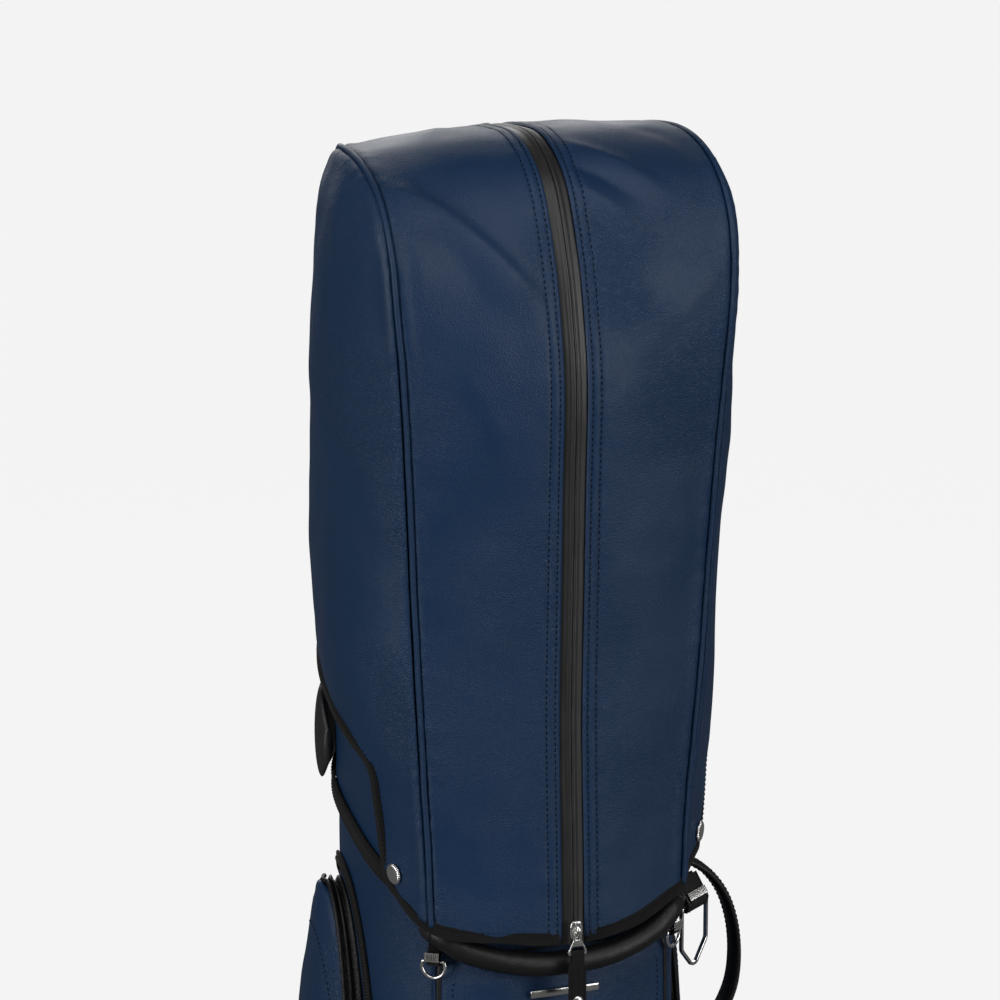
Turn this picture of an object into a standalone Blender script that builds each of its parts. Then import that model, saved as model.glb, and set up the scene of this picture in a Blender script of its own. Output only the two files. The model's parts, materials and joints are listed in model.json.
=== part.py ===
"""Golf cart bag wearing its zip-up rain hood, built as separate named pieces.

Metres, +Z up. The zipper faces -Y, +X is on the right of someone who faces the zipper, and the
origin is on the sole, near its middle.
"""
import math

import bmesh
import bpy
from mathutils import Matrix, Vector

# ---- Driving dimensions -------------------------------------------------------------------------

GAP = 0.0003                    # clearance between pieces that touch
SKIN = 0.0024                   # laminated leather and lining of the hood

# Half of the hood's seam cage, from the front hem over the crown to the back hem:
# seam x, seam y, seam z, then y and z of the middle line beside it.
HOOD_PROFILE = (
    (0.0894, -0.0958, 0.7290, -0.1165, 0.7100),
    (0.0922, -0.0936, 0.7990, -0.1150, 0.7880),
    (0.0961, -0.0936, 0.8715, -0.1140, 0.8620),
    (0.0997, -0.0941, 0.9425, -0.1140, 0.9340),
    (0.1036, -0.0976, 1.0130, -0.1155, 1.0060),
    (0.1084, -0.1012, 1.0830, -0.1180, 1.0750),
    (0.1120, -0.1015, 1.1250, -0.1115, 1.1200),
    (0.1140, -0.0945, 1.1680, -0.1000, 1.1600),
    (0.1138, -0.0740, 1.1970, -0.0780, 1.2020),
    (0.1130, -0.0400, 1.2125, -0.0420, 1.2225),
    (0.1100, 0.0000, 1.2150, 0.0000, 1.2228),
    (0.1010, 0.0400, 1.2065, 0.0450, 1.2128),
    (0.0920, 0.0680, 1.1820, 0.0800, 1.1905),
    (0.0865, 0.0810, 1.1450, 0.0980, 1.1550),
    (0.0850, 0.0840, 1.0800, 0.1040, 1.0850),
    (0.0865, 0.0890, 0.9800, 0.1100, 0.9800),
    (0.0885, 0.0940, 0.8700, 0.1165, 0.8700),
)
BACK_HEM = len(HOOD_PROFILE) - 1        # profile position of the back hem
FRONT_CORNER = 8.3                      # profile positions of the side panels' top corners
BACK_CORNER = 12.7
CROWN_SEAM = 11.2                       # cross seam where the zipper stops
SIDE_BULGE = 0.042                      # how far the side panels swell out past their seams
BULGE_TAPER = 0.0185                    # and how much less they do so at the top
FLAP_BULGE = 0.032                      # the same at the hem
SEAM_INSET = 0.0028                     # panel edges stop this far from the seam line

BINDING_WIDTH = 0.0090
BINDING_THICKNESS = 0.0034
BINDING_ROOM = BINDING_WIDTH + 0.0006   # panels stop this far above a level hem
SLOPED_ROOM = BINDING_ROOM * 1.15       # and this far above a sloping one
CUT_Z = 0.8210                          # the side cut-outs' front top corner
CUT_RISE = 0.0490                       # and their rise to the back hem
FLAP_EDGE_Y = -0.0510                   # the front flaps' rear edge
FLAP_Z = 0.7420                         # the flaps' lower rear corner
FLAP_CORNER_R = 0.0130
PIPING_R = 0.0019

ZIP_HALF = 0.0077                       # half of the visible zipper tape
TAPE_THICKNESS = 0.0013
TAPE_RECESS = 0.0004
CHAIN_HALF = 0.0030

BODY_CENTRE_Y = 0.0060
BODY_X = 0.1035                         # half sizes of the bag's oval tube
BODY_Y = 0.0960
BODY_POWER = 3.0
WALL = 0.0030
CUFF_X = 0.1055
CUFF_Y = 0.0990
CUFF_WALL = 0.0040
TRIM_Z = 0.7340                         # lower trim band where it passes the flap edge
TRIM_SLOPE = 0.32                       # and its rise towards the back
TRIM_HEIGHT = 0.0130
RIM_Z = 0.8590                          # cuff's top edge above the middle
RIM_SLOPE = 0.34
RIM_HEIGHT = 0.0060

SOLE_HEIGHT = 0.0060
TRAY_TOP = 0.0600
TRAY_WALL = 0.0036
TRAY_FLOOR = 0.0040
DIVIDER_BAR = 0.0120                    # width of the top grid's bars
DIVIDER_DEPTH = 0.0300
SHEET = 0.0024                          # thickness of the full-length divider sheets

SLIDER_Z = 0.7207                       # zip slider's height when closed
SLIDER_BACK_Y = -0.1184                 # its rear face, just clear of the fullest tape
HANDLE_R = 0.0078
GRAB_Y = -0.0380                        # side grab handle's plane
NAME_BAR_Z = 0.6730

FRONT = math.radians(-90)
RING_SEGMENTS = 40
ZIP_CORD_R = 0.0022             # pocket zipper cords
FACET_ROOM = 0.0016             # clearance over the wall's facets for pieces with other facets

# Slot: colour, roughness, metallic.
MATERIALS = {
    "navy_leather": ((0.020, 0.055, 0.120), 0.52, 0.0),
    "black_leather": ((0.012, 0.012, 0.013), 0.50, 0.0),
    "black_webbing": ((0.016, 0.016, 0.017), 0.85, 0.0),
    "zip_tape": ((0.026, 0.026, 0.027), 0.60, 0.0),
    "zip_chain": ((0.014, 0.014, 0.015), 0.45, 0.0),
    "silver_metal": ((0.780, 0.770, 0.750), 0.18, 1.0),
    "moulded_black": ((0.018, 0.018, 0.019), 0.55, 0.0),
    "soft_grip": ((0.024, 0.024, 0.026), 0.60, 0.0),
    "rubber": ((0.015, 0.015, 0.015), 0.80, 0.0),
    "lining": ((0.030, 0.032, 0.036), 0.90, 0.0),
}


# ---- Scene and mesh helpers ---------------------------------------------------------------------

def clear_scene():
    for old in list(bpy.data.objects):
        bpy.data.objects.remove(old, do_unlink=True)


def make_collection(name):
    group = bpy.data.collections.new(name)
    bpy.context.scene.collection.children.link(group)
    return group


def make_materials():
    made = {}
    for slot, (colour, roughness, metallic) in MATERIALS.items():
        finish = bpy.data.materials.new(slot)
        finish.use_nodes = True
        shader = finish.node_tree.nodes["Principled BSDF"]
        shader.inputs["Base Color"].default_value = (*colour, 1.0)
        shader.inputs["Roughness"].default_value = roughness
        shader.inputs["Metallic"].default_value = metallic
        made[slot] = finish
    return made


clear_scene()
PARTS = make_collection("golf_bag_with_rain_hood")
CUTTERS = make_collection("cutters")
FINISHES = make_materials()


def add_object(name, data, slot, group=None):
    data.materials.append(FINISHES[slot])
    obj = bpy.data.objects.new(name, data)
    (group or PARTS).objects.link(obj)
    return obj


def mesh_object(name, bm, slot, sharp_degrees=40):
    data = bpy.data.meshes.new(name)
    bm.to_mesh(data)
    bm.free()
    data.shade_smooth()
    data.set_sharp_from_angle(angle=math.radians(sharp_degrees))
    return add_object(name, data, slot)


def lerp(a, b, t):
    return a + (b - a) * t


def spline(rows, t):
    """Smooth curve through rows of numbers, at position t counted in rows."""
    i = min(max(int(math.floor(t)), 0), len(rows) - 2)
    f = t - i
    p1, p2 = rows[i], rows[i + 1]
    p0 = rows[i - 1] if i > 0 else [2 * a - b for a, b in zip(p1, p2)]
    p3 = rows[i + 2] if i + 2 < len(rows) else [2 * b - a for a, b in zip(p1, p2)]
    return [
        0.5 * (2 * b + (c - a) * f + (2 * a - 5 * b + 4 * c - d) * f * f + (3 * b - a - 3 * c + d) * f ** 3)
        for a, b, c, d in zip(p0, p1, p2, p3)
    ]


def steps(start, end, count):
    return [lerp(start, end, i / count) for i in range(count + 1)]


def mirrored(point, side):
    return Vector((point.x * side, point.y, point.z))


def sheet_mesh(grid, keep=None):
    """Open sheet through a grid of points, facing away from the upright axis of the bag."""
    bm = bmesh.new()
    rows = [[bm.verts.new(p) for p in row] for row in grid]
    for i in range(len(rows) - 1):
        for j in range(len(rows[0]) - 1):
            if keep is None or keep(i, j):
                bm.faces.new((rows[i][j], rows[i][j + 1], rows[i + 1][j + 1], rows[i + 1][j]))
    loose = [v for v in bm.verts if not v.link_faces]
    bmesh.ops.delete(bm, geom=loose, context="VERTS")
    bm.normal_update()
    middle = Vector((0, 0, sum(v.co.z for v in bm.verts) / len(bm.verts) - 0.05))
    facing = sum(f.normal.dot(f.calc_center_median() - middle) * f.calc_area() for f in bm.faces)
    if facing < 0:
        bmesh.ops.reverse_faces(bm, faces=bm.faces)
    return bm


def shell(name, grid, thickness, slot, keep=None):
    """A sheet with its thickness on the inner side."""
    obj = mesh_object(name, sheet_mesh(grid, keep), slot)
    solid = obj.modifiers.new("thickness", "SOLIDIFY")
    solid.thickness = thickness
    solid.offset = -1
    solid.use_even_offset = True
    return obj


def loft_mesh(rings, ring_closed=True, ends=True, loop=False):
    """Skin between matching rings; loop joins the last ring to the first."""
    bm = bmesh.new()
    rows = [[bm.verts.new(p) for p in ring] for ring in rings]
    count = len(rows[0])
    pairs = list(zip(rows, rows[1:]))
    if loop:
        pairs.append((rows[-1], rows[0]))
    for low, high in pairs:
        for j in range(count if ring_closed else count - 1):
            k = (j + 1) % count
            bm.faces.new((low[j], low[k], high[k], high[j]))
    if ends and not loop:
        bm.faces.new(rows[0][::-1])
        bm.faces.new(rows[-1])
    bmesh.ops.recalc_face_normals(bm, faces=bm.faces)
    return bm


def loft(name, rings, slot, **options):
    return mesh_object(name, loft_mesh(rings, **options), slot)


def box_section(centre, across, normal, width, thickness):
    """Four corners of a rectangle, across wide and thick along the normal."""
    a, n = across * (width / 2), normal * (thickness / 2)
    return [centre - a - n, centre + a - n, centre + a + n, centre - a + n]


def tube(name, points, radius, slot, closed=False, resolution=1):
    """A round bar along points."""
    curve = bpy.data.curves.new(name, "CURVE")
    curve.dimensions = "3D"
    curve.bevel_depth = radius
    curve.bevel_resolution = resolution
    curve.use_fill_caps = not closed
    line = curve.splines.new("POLY")
    line.points.add(len(points) - 1)
    for knot, p in zip(line.points, points):
        knot.co = (*p, 1.0)
    line.use_cyclic_u = closed
    return add_object(name, curve, slot)


def as_mesh(obj):
    """Turn a curve object into a mesh object whose caps are welded on."""
    depsgraph = bpy.context.evaluated_depsgraph_get()
    data = bpy.data.meshes.new_from_object(obj.evaluated_get(depsgraph))
    bm = bmesh.new()
    bm.from_mesh(data)
    bmesh.ops.remove_doubles(bm, verts=bm.verts, dist=1e-6)
    bm.to_mesh(data)
    bm.free()
    name, place, slot = obj.name, obj.matrix_world.copy(), obj.data.materials[0].name
    bpy.data.objects.remove(obj, do_unlink=True)
    solid = add_object(name, data, slot)
    solid.name = name
    solid.matrix_world = place
    return solid


def plate(name, outlines, thickness, place, slot):
    """Flat piece from 2D outlines (the first is the edge, the rest are holes), laid in place."""
    curve = bpy.data.curves.new(name, "CURVE")
    curve.dimensions = "2D"
    curve.fill_mode = "BOTH"
    curve.extrude = thickness / 2
    for outline in outlines:
        line = curve.splines.new("POLY")
        line.points.add(len(outline) - 1)
        for knot, (x, y) in zip(line.points, outline):
            knot.co = (x, y, 0, 1)
        line.use_cyclic_u = True
    obj = add_object(name, curve, slot)
    obj.matrix_world = place
    return obj


def turned(name, profile, place, slot, segments=16):
    """A turned piece: profile is (radius, height) pairs run down the outer side."""
    bm = bmesh.new()
    line = [bm.verts.new((r, 0, h)) for r, h in profile]
    for a, b in zip(line, line[1:]):
        bm.edges.new((a, b))
    obj = mesh_object(name, bm, slot)
    screw = obj.modifiers.new("turn", "SCREW")
    screw.steps = screw.render_steps = segments
    screw.use_merge_vertices = True
    screw.merge_threshold = 1e-5
    obj.matrix_world = place
    return obj


def cut(obj, cutter):
    cutter.hide_render = True
    cutter.display_type = "WIRE"
    for group in list(cutter.users_collection):
        group.objects.unlink(cutter)
    CUTTERS.objects.link(cutter)
    tool = obj.modifiers.new("cut", "BOOLEAN")
    tool.operation = "DIFFERENCE"
    tool.solver = "EXACT"
    tool.object = cutter


def join(obj, other):
    """Fuse another solid into obj and keep it as a hidden helper."""
    cut(obj, other)
    obj.modifiers[-1].operation = "UNION"


def facing(point, normal, up=Vector((0, 0, 1))):
    """Frame at a point with local Z along the normal and local Y as near up as it goes."""
    z = normal.normalized()
    x = up.cross(z).normalized()
    y = z.cross(x)
    return Matrix((
        (x.x, y.x, z.x, point.x), (x.y, y.y, z.y, point.y), (x.z, y.z, z.z, point.z), (0, 0, 0, 1)))


def pivot(name, point, pieces):
    """Empty on a joint's axis that carries a moving body's pieces."""
    empty = bpy.data.objects.new(name, None)
    PARTS.objects.link(empty)
    empty.location = point
    bpy.context.view_layer.update()
    for piece in pieces:
        piece.parent = empty
        piece.matrix_parent_inverse = empty.matrix_world.inverted()
    return empty


# ---- Hood surfaces ------------------------------------------------------------------------------

def seam(t):
    x, y, z, _, _ = spline(HOOD_PROFILE, t)
    return Vector((x, y, z))


def strip_point(x_share, t, x_offset=0.0):
    """Point on the front, crown or back strip; x_share is -1 to 1 between the two seams."""
    sx, sy, sz, cy, cz = spline(HOOD_PROFILE, t)
    share = x_share + x_offset / sx
    rise = 1 - share * share
    return Vector((share * sx, sy + rise * (cy - sy), sz + rise * (cz - sz)))


def strip_at(x, t):
    return strip_point(0.0, t, x)


def strip_normal(x, t):
    e = 0.02
    along_x = strip_at(x + 0.002, t) - strip_at(x - 0.002, t)
    along_t = strip_at(x, min(t + e, BACK_HEM)) - strip_at(x, max(t - e, 0))
    return along_x.cross(along_t).normalized()


def swell(r):
    return math.sin(math.pi * min(max(r, 0), 1)) ** 0.65


def cut_edge_z(r):
    """Height of the hem along the side cut-out, r from the front seam to the back seam."""
    share = max(r - FLAP_R, 0) / (1 - FLAP_R)
    return CUT_Z + CUT_RISE * (1 - (1 - share) ** 1.8)


def binding_room(r):
    """Height that the binding takes above the cut-out's hem, more where the hem slopes."""
    e = 0.01
    slope = (cut_edge_z(min(r + e, 1)) - cut_edge_z(r - e)) / (2 * e * SIDE_DEPTH)
    return BINDING_ROOM * math.sqrt(1 + slope * slope)


def seam_at_height(z):
    """Front seam position at a low height, where the seam is almost upright."""
    low, high = 0.0, 4.0
    for _ in range(30):
        t = (low + high) / 2
        if seam(t).z < z:
            low = t
        else:
            high = t
    return low


def low_side(r, z):
    """Point on the side of the hood near the hem, at a given height."""
    front = seam(seam_at_height(z))
    back = seam(BACK_HEM)
    point = front.lerp(back, r)
    depth = FLAP_BULGE * (1 - 0.30 * min(max((PATCH_Z - z) / 0.09, 0), 1))
    return Vector((point.x + depth * swell(r), point.y, z))


SIDE_DEPTH = seam(BACK_HEM).y - seam(1).y
FLAP_R = (FLAP_EDGE_Y - seam(1).y) / SIDE_DEPTH
FLAP_CORNER_SHARE = (FLAP_EDGE_Y - FLAP_CORNER_R - seam(1).y) / SIDE_DEPTH
PATCH_Z = CUT_Z + BINDING_ROOM
PATCH_START = seam_at_height(PATCH_Z)


def side_point(r, v):
    """Point on a side panel: r runs front to back, v from above the cut-out to the top seam."""
    front = seam(lerp(PATCH_START, FRONT_CORNER, v))
    back_low = seam(BACK_HEM) + Vector((0, 0, BINDING_ROOM))
    back = seam(lerp(BACK_HEM, BACK_CORNER, v))
    back.z += BINDING_ROOM * (1 - v)
    top = seam(lerp(FRONT_CORNER, BACK_CORNER, r))
    low = seam(PATCH_START).lerp(back_low, r)
    low.z = cut_edge_z(r) + binding_room(r)
    corner_mix = (seam(PATCH_START).lerp(back_low, r) * (1 - v)
                  + seam(FRONT_CORNER).lerp(seam(BACK_CORNER), r) * v)
    point = front.lerp(back, r) + low.lerp(top, v) - corner_mix
    depth = (SIDE_BULGE - BULGE_TAPER * v) * (1 - v ** 8) ** 0.8
    depth *= 1 - (1 - FLAP_BULGE / SIDE_BULGE) * (1 - v) ** 8
    point.x += depth * swell(r)
    return point


def side_normal(r, z):
    e = 0.01
    along_r = low_side(r + e, z) - low_side(r - e, z)
    along_z = low_side(r, z + e) - low_side(r, z - e)
    return along_r.cross(along_z).normalized()


# ---- Hood ---------------------------------------------------------------------------------------

HOOD_COLUMNS = 6


def hood_front(side, name):
    rows = []
    for t in steps(SLOPED_ROOM / 0.07, CROWN_SEAM, 20):
        edge = seam(t).x - SEAM_INSET
        rows.append([mirrored(strip_at(x, t), side) for x in steps(ZIP_HALF + GAP, edge, HOOD_COLUMNS - 1)])
    return shell(name, rows, SKIN, "navy_leather")


def hood_back():
    rows = []
    for t in steps(CROWN_SEAM + 0.02, BACK_HEM - BINDING_ROOM / 0.11, 8):
        edge = seam(t).x - SEAM_INSET
        rows.append([strip_at(x, t) for x in steps(-edge, edge, 8)])
    return shell("hood_back", rows, SKIN, "navy_leather")


def flap_floor(r, panel_edge):
    """Height of a flap's lower edge, rounded up towards its rear corner."""
    hem = lerp(seam(0).z, FLAP_Z, min(r / FLAP_CORNER_SHARE, 1))
    round_start = 0.10
    round_up = max((r - round_start) / (panel_edge - round_start), 0) ** 2
    return hem + SLOPED_ROOM + 0.0100 * round_up


def clear_of_seam(point, seam_line):
    """The point, moved out to the width that the piping takes if it is closer to the seam."""
    nearest = min(seam_line, key=lambda p: (p - point).length)
    away = point - nearest
    room = SEAM_INSET + (0.0036 if point.z > 1.15 else 0.0028)
    return point if away.length >= room else nearest + away.normalized() * room


def hood_side(side, name):
    """Side panel: a swelling patch with a flap that hangs from its front columns."""
    panel_edge = FLAP_R - BINDING_ROOM / SIDE_DEPTH
    columns = [0.010, 0.03, 0.07, 0.12, panel_edge - 0.02, panel_edge]
    flap_columns = len(columns) - 1
    columns += [0.27, 0.38, 0.50, 0.62, 0.74, 0.85, 0.94, 0.990]
    grid = []
    flap_rows = 3
    for i in range(flap_rows):
        share = i / flap_rows
        row = []
        for j, r in enumerate(columns):
            if j > flap_columns:
                row.append(side_point(r, 0))
                continue
            floor = flap_floor(r, panel_edge)
            row.append(low_side(r, lerp(floor, side_point(r, 0).z, share)))
        grid.append(row)
    for v in (0, 0.08, 0.18, 0.30, 0.42, 0.54, 0.65, 0.75, 0.83, 0.90, 0.95, 0.975, 0.990):
        grid.append([side_point(r, v) for r in columns])
    seam_line = [seam(t) for t in steps(0, BACK_HEM, 320)]
    grid = [[mirrored(clear_of_seam(p, seam_line), side) for p in row] for row in grid]
    return shell(name, grid, SKIN, "navy_leather",
                 keep=lambda i, j: i >= flap_rows or j < flap_columns)


def piping(side, name):
    start, end = (SLOPED_ROOM + 0.0010) / 0.07, BACK_HEM - SLOPED_ROOM / 0.11
    return tube(name, [mirrored(seam(t), side) for t in steps(start, end, 44)], PIPING_R, "navy_leather")


def hem_stations():
    """Right half of the hem line as (point, outward normal), from the zipper to the middle back."""
    line = []
    for x in steps(ZIP_HALF + 0.0012, seam(0).x, 5):
        line.append((strip_at(x, 0), strip_normal(x, 0)))
    corner_y, corner_z = FLAP_EDGE_Y - FLAP_CORNER_R, FLAP_Z + FLAP_CORNER_R
    for r in (0.03, 0.08, 0.12):
        z = lerp(seam(0).z, FLAP_Z, r / FLAP_CORNER_SHARE)
        line.append((low_side(r, z), side_normal(r, z)))
    for turn in steps(0, math.pi / 2, 4):
        r = (corner_y + FLAP_CORNER_R * math.sin(turn) - seam(1).y) / SIDE_DEPTH
        z = corner_z - FLAP_CORNER_R * math.cos(turn)
        line.append((low_side(r, z), side_normal(r, z)))
    for z in (0.775, 0.800, CUT_Z - 0.006):
        line.append((low_side(FLAP_R, z), side_normal(FLAP_R, z)))
    for r in (FLAP_R + 0.02, 0.32, 0.42, 0.52, 0.62, 0.72, 0.82, 0.91, 0.97):
        z = cut_edge_z(r)
        line.append((low_side(r, z), side_normal(r, z)))
    for x in steps(seam(BACK_HEM).x - 0.004, 0, 5):
        line.append((strip_at(x, BACK_HEM), strip_normal(x, BACK_HEM)))
    return line


def hem_binding():
    """One band that runs round the whole hem, from one side of the zipper to the other."""
    half = hem_stations()
    other = [(mirrored(p, -1), mirrored(n, -1)) for p, n in half[:-1]]
    line = half + other[::-1]
    rings = []
    last = len(line) - 1
    for i, (point, _) in enumerate(line):
        before, after = line[max(i - 1, 0)], line[min(i + 1, last)]
        tangent = (after[0] - before[0]).normalized()
        normal = (before[1] + line[i][1] * 2 + after[1]).normalized()
        across = normal.cross(tangent).normalized()
        normal = tangent.cross(across).normalized()
        middle = point + across * (BINDING_WIDTH / 2) - normal * (SKIN / 2)
        rings.append(box_section(middle, across, normal, BINDING_WIDTH, BINDING_THICKNESS))
    return loft("hem_binding", rings, "black_webbing")


def zipper():
    """Two tapes face to face and the coil chain behind them."""
    tapes = []
    for side, name in ((-1, "zip_tape_left"), (1, "zip_tape_right")):
        rows = []
        for t in steps(0.0, CROWN_SEAM - 0.01, 22):
            lift = strip_normal(0, t) * -TAPE_RECESS
            rows.append([mirrored(strip_at(x, t) + lift, side) for x in (GAP / 2, ZIP_HALF)])
        tapes.append(shell(name, rows, TAPE_THICKNESS, "zip_tape"))
    rings = []
    for t in steps(0.02, CROWN_SEAM - 0.05, 22):
        normal = strip_normal(0, t)
        middle = strip_at(0, t) - normal * (TAPE_RECESS + TAPE_THICKNESS + GAP + 0.0008)
        rings.append(box_section(middle, Vector((1, 0, 0)), normal, 2 * CHAIN_HALF, 0.0016))
    chain = loft("zip_chain", rings, "zip_chain")
    t = CROWN_SEAM - 0.25
    stop_normal = strip_normal(0, t)
    stop = rounded_box("zip_top_stop", (0.0060, 0.0040, 0.0014),
                       facing(strip_at(0, t) + stop_normal * 0.0011, stop_normal, Vector((0, 1, 0))),
                       "silver_metal", 0.0004)
    return tapes + [chain, stop]


def rounded_box(name, size, place, slot, bevel):
    bm = bmesh.new()
    bmesh.ops.create_cube(bm, size=1.0)
    bmesh.ops.scale(bm, verts=bm.verts, vec=size)
    obj = mesh_object(name, bm, slot)
    edge = obj.modifiers.new("edge", "BEVEL")
    edge.width = bevel
    edge.segments = 1
    obj.matrix_world = place
    return obj


# ---- Snaps --------------------------------------------------------------------------------------

SNAP_R = 0.0070
SNAP_POST_R = 0.0018
SNAP_HOLE_R = 0.0021
FRONT_SNAP = (-0.0665, 0.7580)          # y and z on the flap
REAR_SNAP_Z = 0.8880                    # single snap in the middle of the back


def snap_cap(name, place):
    """Domed cap with its post and inner socket, turned round the snap's axis."""
    inner = -SKIN - GAP
    profile = [
        (0.0, 0.0024), (0.0035, 0.0022), (0.0058, 0.0016), (SNAP_R, 0.0008), (SNAP_R, GAP),
        (SNAP_POST_R, GAP), (SNAP_POST_R, inner), (0.0045, inner), (0.0045, inner - 0.0020),
        (0.0, inner - 0.0020)]
    return turned(name, profile, place, "silver_metal")


def snap_hole(panel, name, place):
    bm = bmesh.new()
    bmesh.ops.create_cone(bm, cap_ends=True, segments=12, radius1=SNAP_HOLE_R, radius2=SNAP_HOLE_R, depth=0.02)
    cutter = mesh_object(name, bm, "silver_metal")
    cutter.matrix_world = place
    cut(panel, cutter)


def snap_stud(name, place, height):
    profile = [
        (0.0, height), (0.0016, height), (0.0021, height - 0.0006), (0.0016, 0.0012), (0.0052, 0.0010),
        (0.0055, 0.0), (0.0, 0.0)]
    return turned(name, profile, place, "silver_metal")


def snaps(side_panels, back_panel):
    """Three snaps: one on each front flap and one in the middle of the back."""
    caps = []
    y, z = FRONT_SNAP
    r = (y - seam(1).y) / SIDE_DEPTH
    for side, word in ((-1, "left"), (1, "right")):
        place = facing(mirrored(low_side(r, z), side), mirrored(side_normal(r, z), side))
        caps.append(snap_cap("snap_cap_" + word, place))
        snap_hole(side_panels[side], "snap_hole_" + word, place)
        angle = math.atan2(-0.0700, 0.0965 * side)
        surface = cuff_point(angle, z, 0.0006)
        snap_stud("snap_stud_" + word, facing(surface, oval_normal(angle, CUFF_X, CUFF_Y)), 0.0030)
    t = BACK_HEM - (REAR_SNAP_Z - seam(BACK_HEM).z) / 0.11
    place = facing(strip_at(0, t), strip_normal(0, t))
    caps.append(snap_cap("snap_cap_rear", place))
    snap_hole(back_panel, "snap_hole_rear", place)
    rear = cuff_point(math.pi / 2, strip_at(0, t).z, 0.0006)
    snap_stud("snap_stud_rear", facing(rear, Vector((0, 1, 0))), 0.0026)
    return caps


# ---- Zip slider, puller and tab -----------------------------------------------------------------

PULLER_PIVOT = Vector((0, SLIDER_BACK_Y - 0.0042, SLIDER_Z - 0.0002))
TAB_PIVOT = PULLER_PIVOT + Vector((0, 0, -0.0148))


def zip_slider():
    """Slider body with the arched bridge that holds the puller."""
    centre = Vector((0, SLIDER_BACK_Y - 0.0013, SLIDER_Z))
    front = facing(centre, Vector((0, -1, 0)))
    outline = [(-0.0030, -0.0064), (0.0030, -0.0064), (0.0043, -0.0030), (0.0043, 0.0030),
               (0.0030, 0.0064), (-0.0030, 0.0064), (-0.0043, 0.0030), (-0.0043, -0.0030)]
    body = as_mesh(plate("zip_slider", [outline], 0.0026, front, "silver_metal"))
    arch = [(0.0014, 0.0048)]
    arch += [(0.0020 + 0.0046 * math.sin(a), 0.0010 + 0.0038 * math.cos(a)) for a in steps(0, math.pi, 8)]
    arch += [(0.0014, -0.0028)]
    bridge = as_mesh(tube("zip_bridge", [Vector((0, SLIDER_BACK_Y - out, SLIDER_Z + z)) for out, z in arch], 0.0009,
                          "silver_metal"))
    join(body, bridge)
    return body


def zip_puller():
    """Flat A-shaped puller with a window for the bridge and one for the webbing tab."""
    place = facing(PULLER_PIVOT, Vector((0, -1, 0)))
    edge = [(-0.0026, 0.0007), (0.0026, 0.0007), (0.0030, -0.0060), (0.0064, -0.0128), (0.0064, -0.0155),
            (-0.0064, -0.0155), (-0.0064, -0.0128), (-0.0030, -0.0060)]
    bridge_window = [(-0.0014, -0.0007), (-0.0014, -0.0052), (0.0014, -0.0052), (0.0014, -0.0007)]
    tab_window = [(-0.0045, -0.0141), (0.0045, -0.0141), (0.0045, -0.0124), (0.0036, -0.0098),
                  (-0.0036, -0.0098), (-0.0045, -0.0124)]
    return plate("zip_puller", [edge, bridge_window, tab_window], 0.0012, place, "silver_metal")


def pull_tab():
    """Webbing folded over the puller's lower bar, with both ends hanging down together."""
    length, layer = 0.0400, 0.0009
    loop_r = 0.0017
    path = [(0.0007, -length), (0.0007, -0.0120), (0.0008, -0.0070), (0.0016, -0.0018)]
    path += [(loop_r * math.cos(a), loop_r * math.sin(a)) for a in steps(0, math.pi, 6)]
    path += [(-y, z) for y, z in path[3::-1]]
    rings = []
    for i, (y, z) in enumerate(path):
        (y0, z0), (y1, z1) = path[max(i - 1, 0)], path[min(i + 1, len(path) - 1)]
        tangent = Vector((0, y1 - y0, z1 - z0)).normalized()
        width = 0.0084 if z > -0.0065 else 0.0118
        normal = tangent.cross(Vector((1, 0, 0)))
        rings.append(box_section(TAB_PIVOT + Vector((0, y, z)), Vector((1, 0, 0)), normal, width, layer))
    tab = loft("pull_tab", rings, "black_webbing")
    face = TAB_PIVOT + Vector((0, -0.0007 - layer / 2 - GAP, -0.0320))
    rivet = turned("pull_tab_rivet", [(0.0, 0.0016), (0.0022, 0.0013), (0.0036, 0.0005), (0.0036, 0.0), (0.0, 0.0)],
                   facing(face, Vector((0, -1, 0))), "silver_metal")
    return tab, rivet


# ---- Bag tube -----------------------------------------------------------------------------------

def oval_radius(angle, half_x, half_y, power=BODY_POWER):
    c, s = abs(math.cos(angle)), abs(math.sin(angle))
    return ((c / half_x) ** power + (s / half_y) ** power) ** (-1 / power)


def oval_point(angle, half_x, half_y, z):
    radius = oval_radius(angle, half_x, half_y)
    return Vector((radius * math.cos(angle), BODY_CENTRE_Y + radius * math.sin(angle), z))


def oval_normal(angle, half_x, half_y):
    e = 0.01
    along = oval_point(angle + e, half_x, half_y, 0) - oval_point(angle - e, half_x, half_y, 0)
    return Vector((along.y, -along.x, 0)).normalized()


def body_point(angle, z, offset=0.0):
    return oval_point(angle, BODY_X, BODY_Y, z) + oval_normal(angle, BODY_X, BODY_Y) * offset


def cuff_point(angle, z, offset=0.0):
    return oval_point(angle, CUFF_X, CUFF_Y, z) + oval_normal(angle, CUFF_X, CUFF_Y) * offset


def trim_z(y):
    return TRIM_Z + TRIM_SLOPE * (y + 0.065)


def rim_z(y):
    return RIM_Z + RIM_SLOPE * y


def turn_angles(count=RING_SEGMENTS):
    return [FRONT + 2 * math.pi * i / count for i in range(count)]


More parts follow.
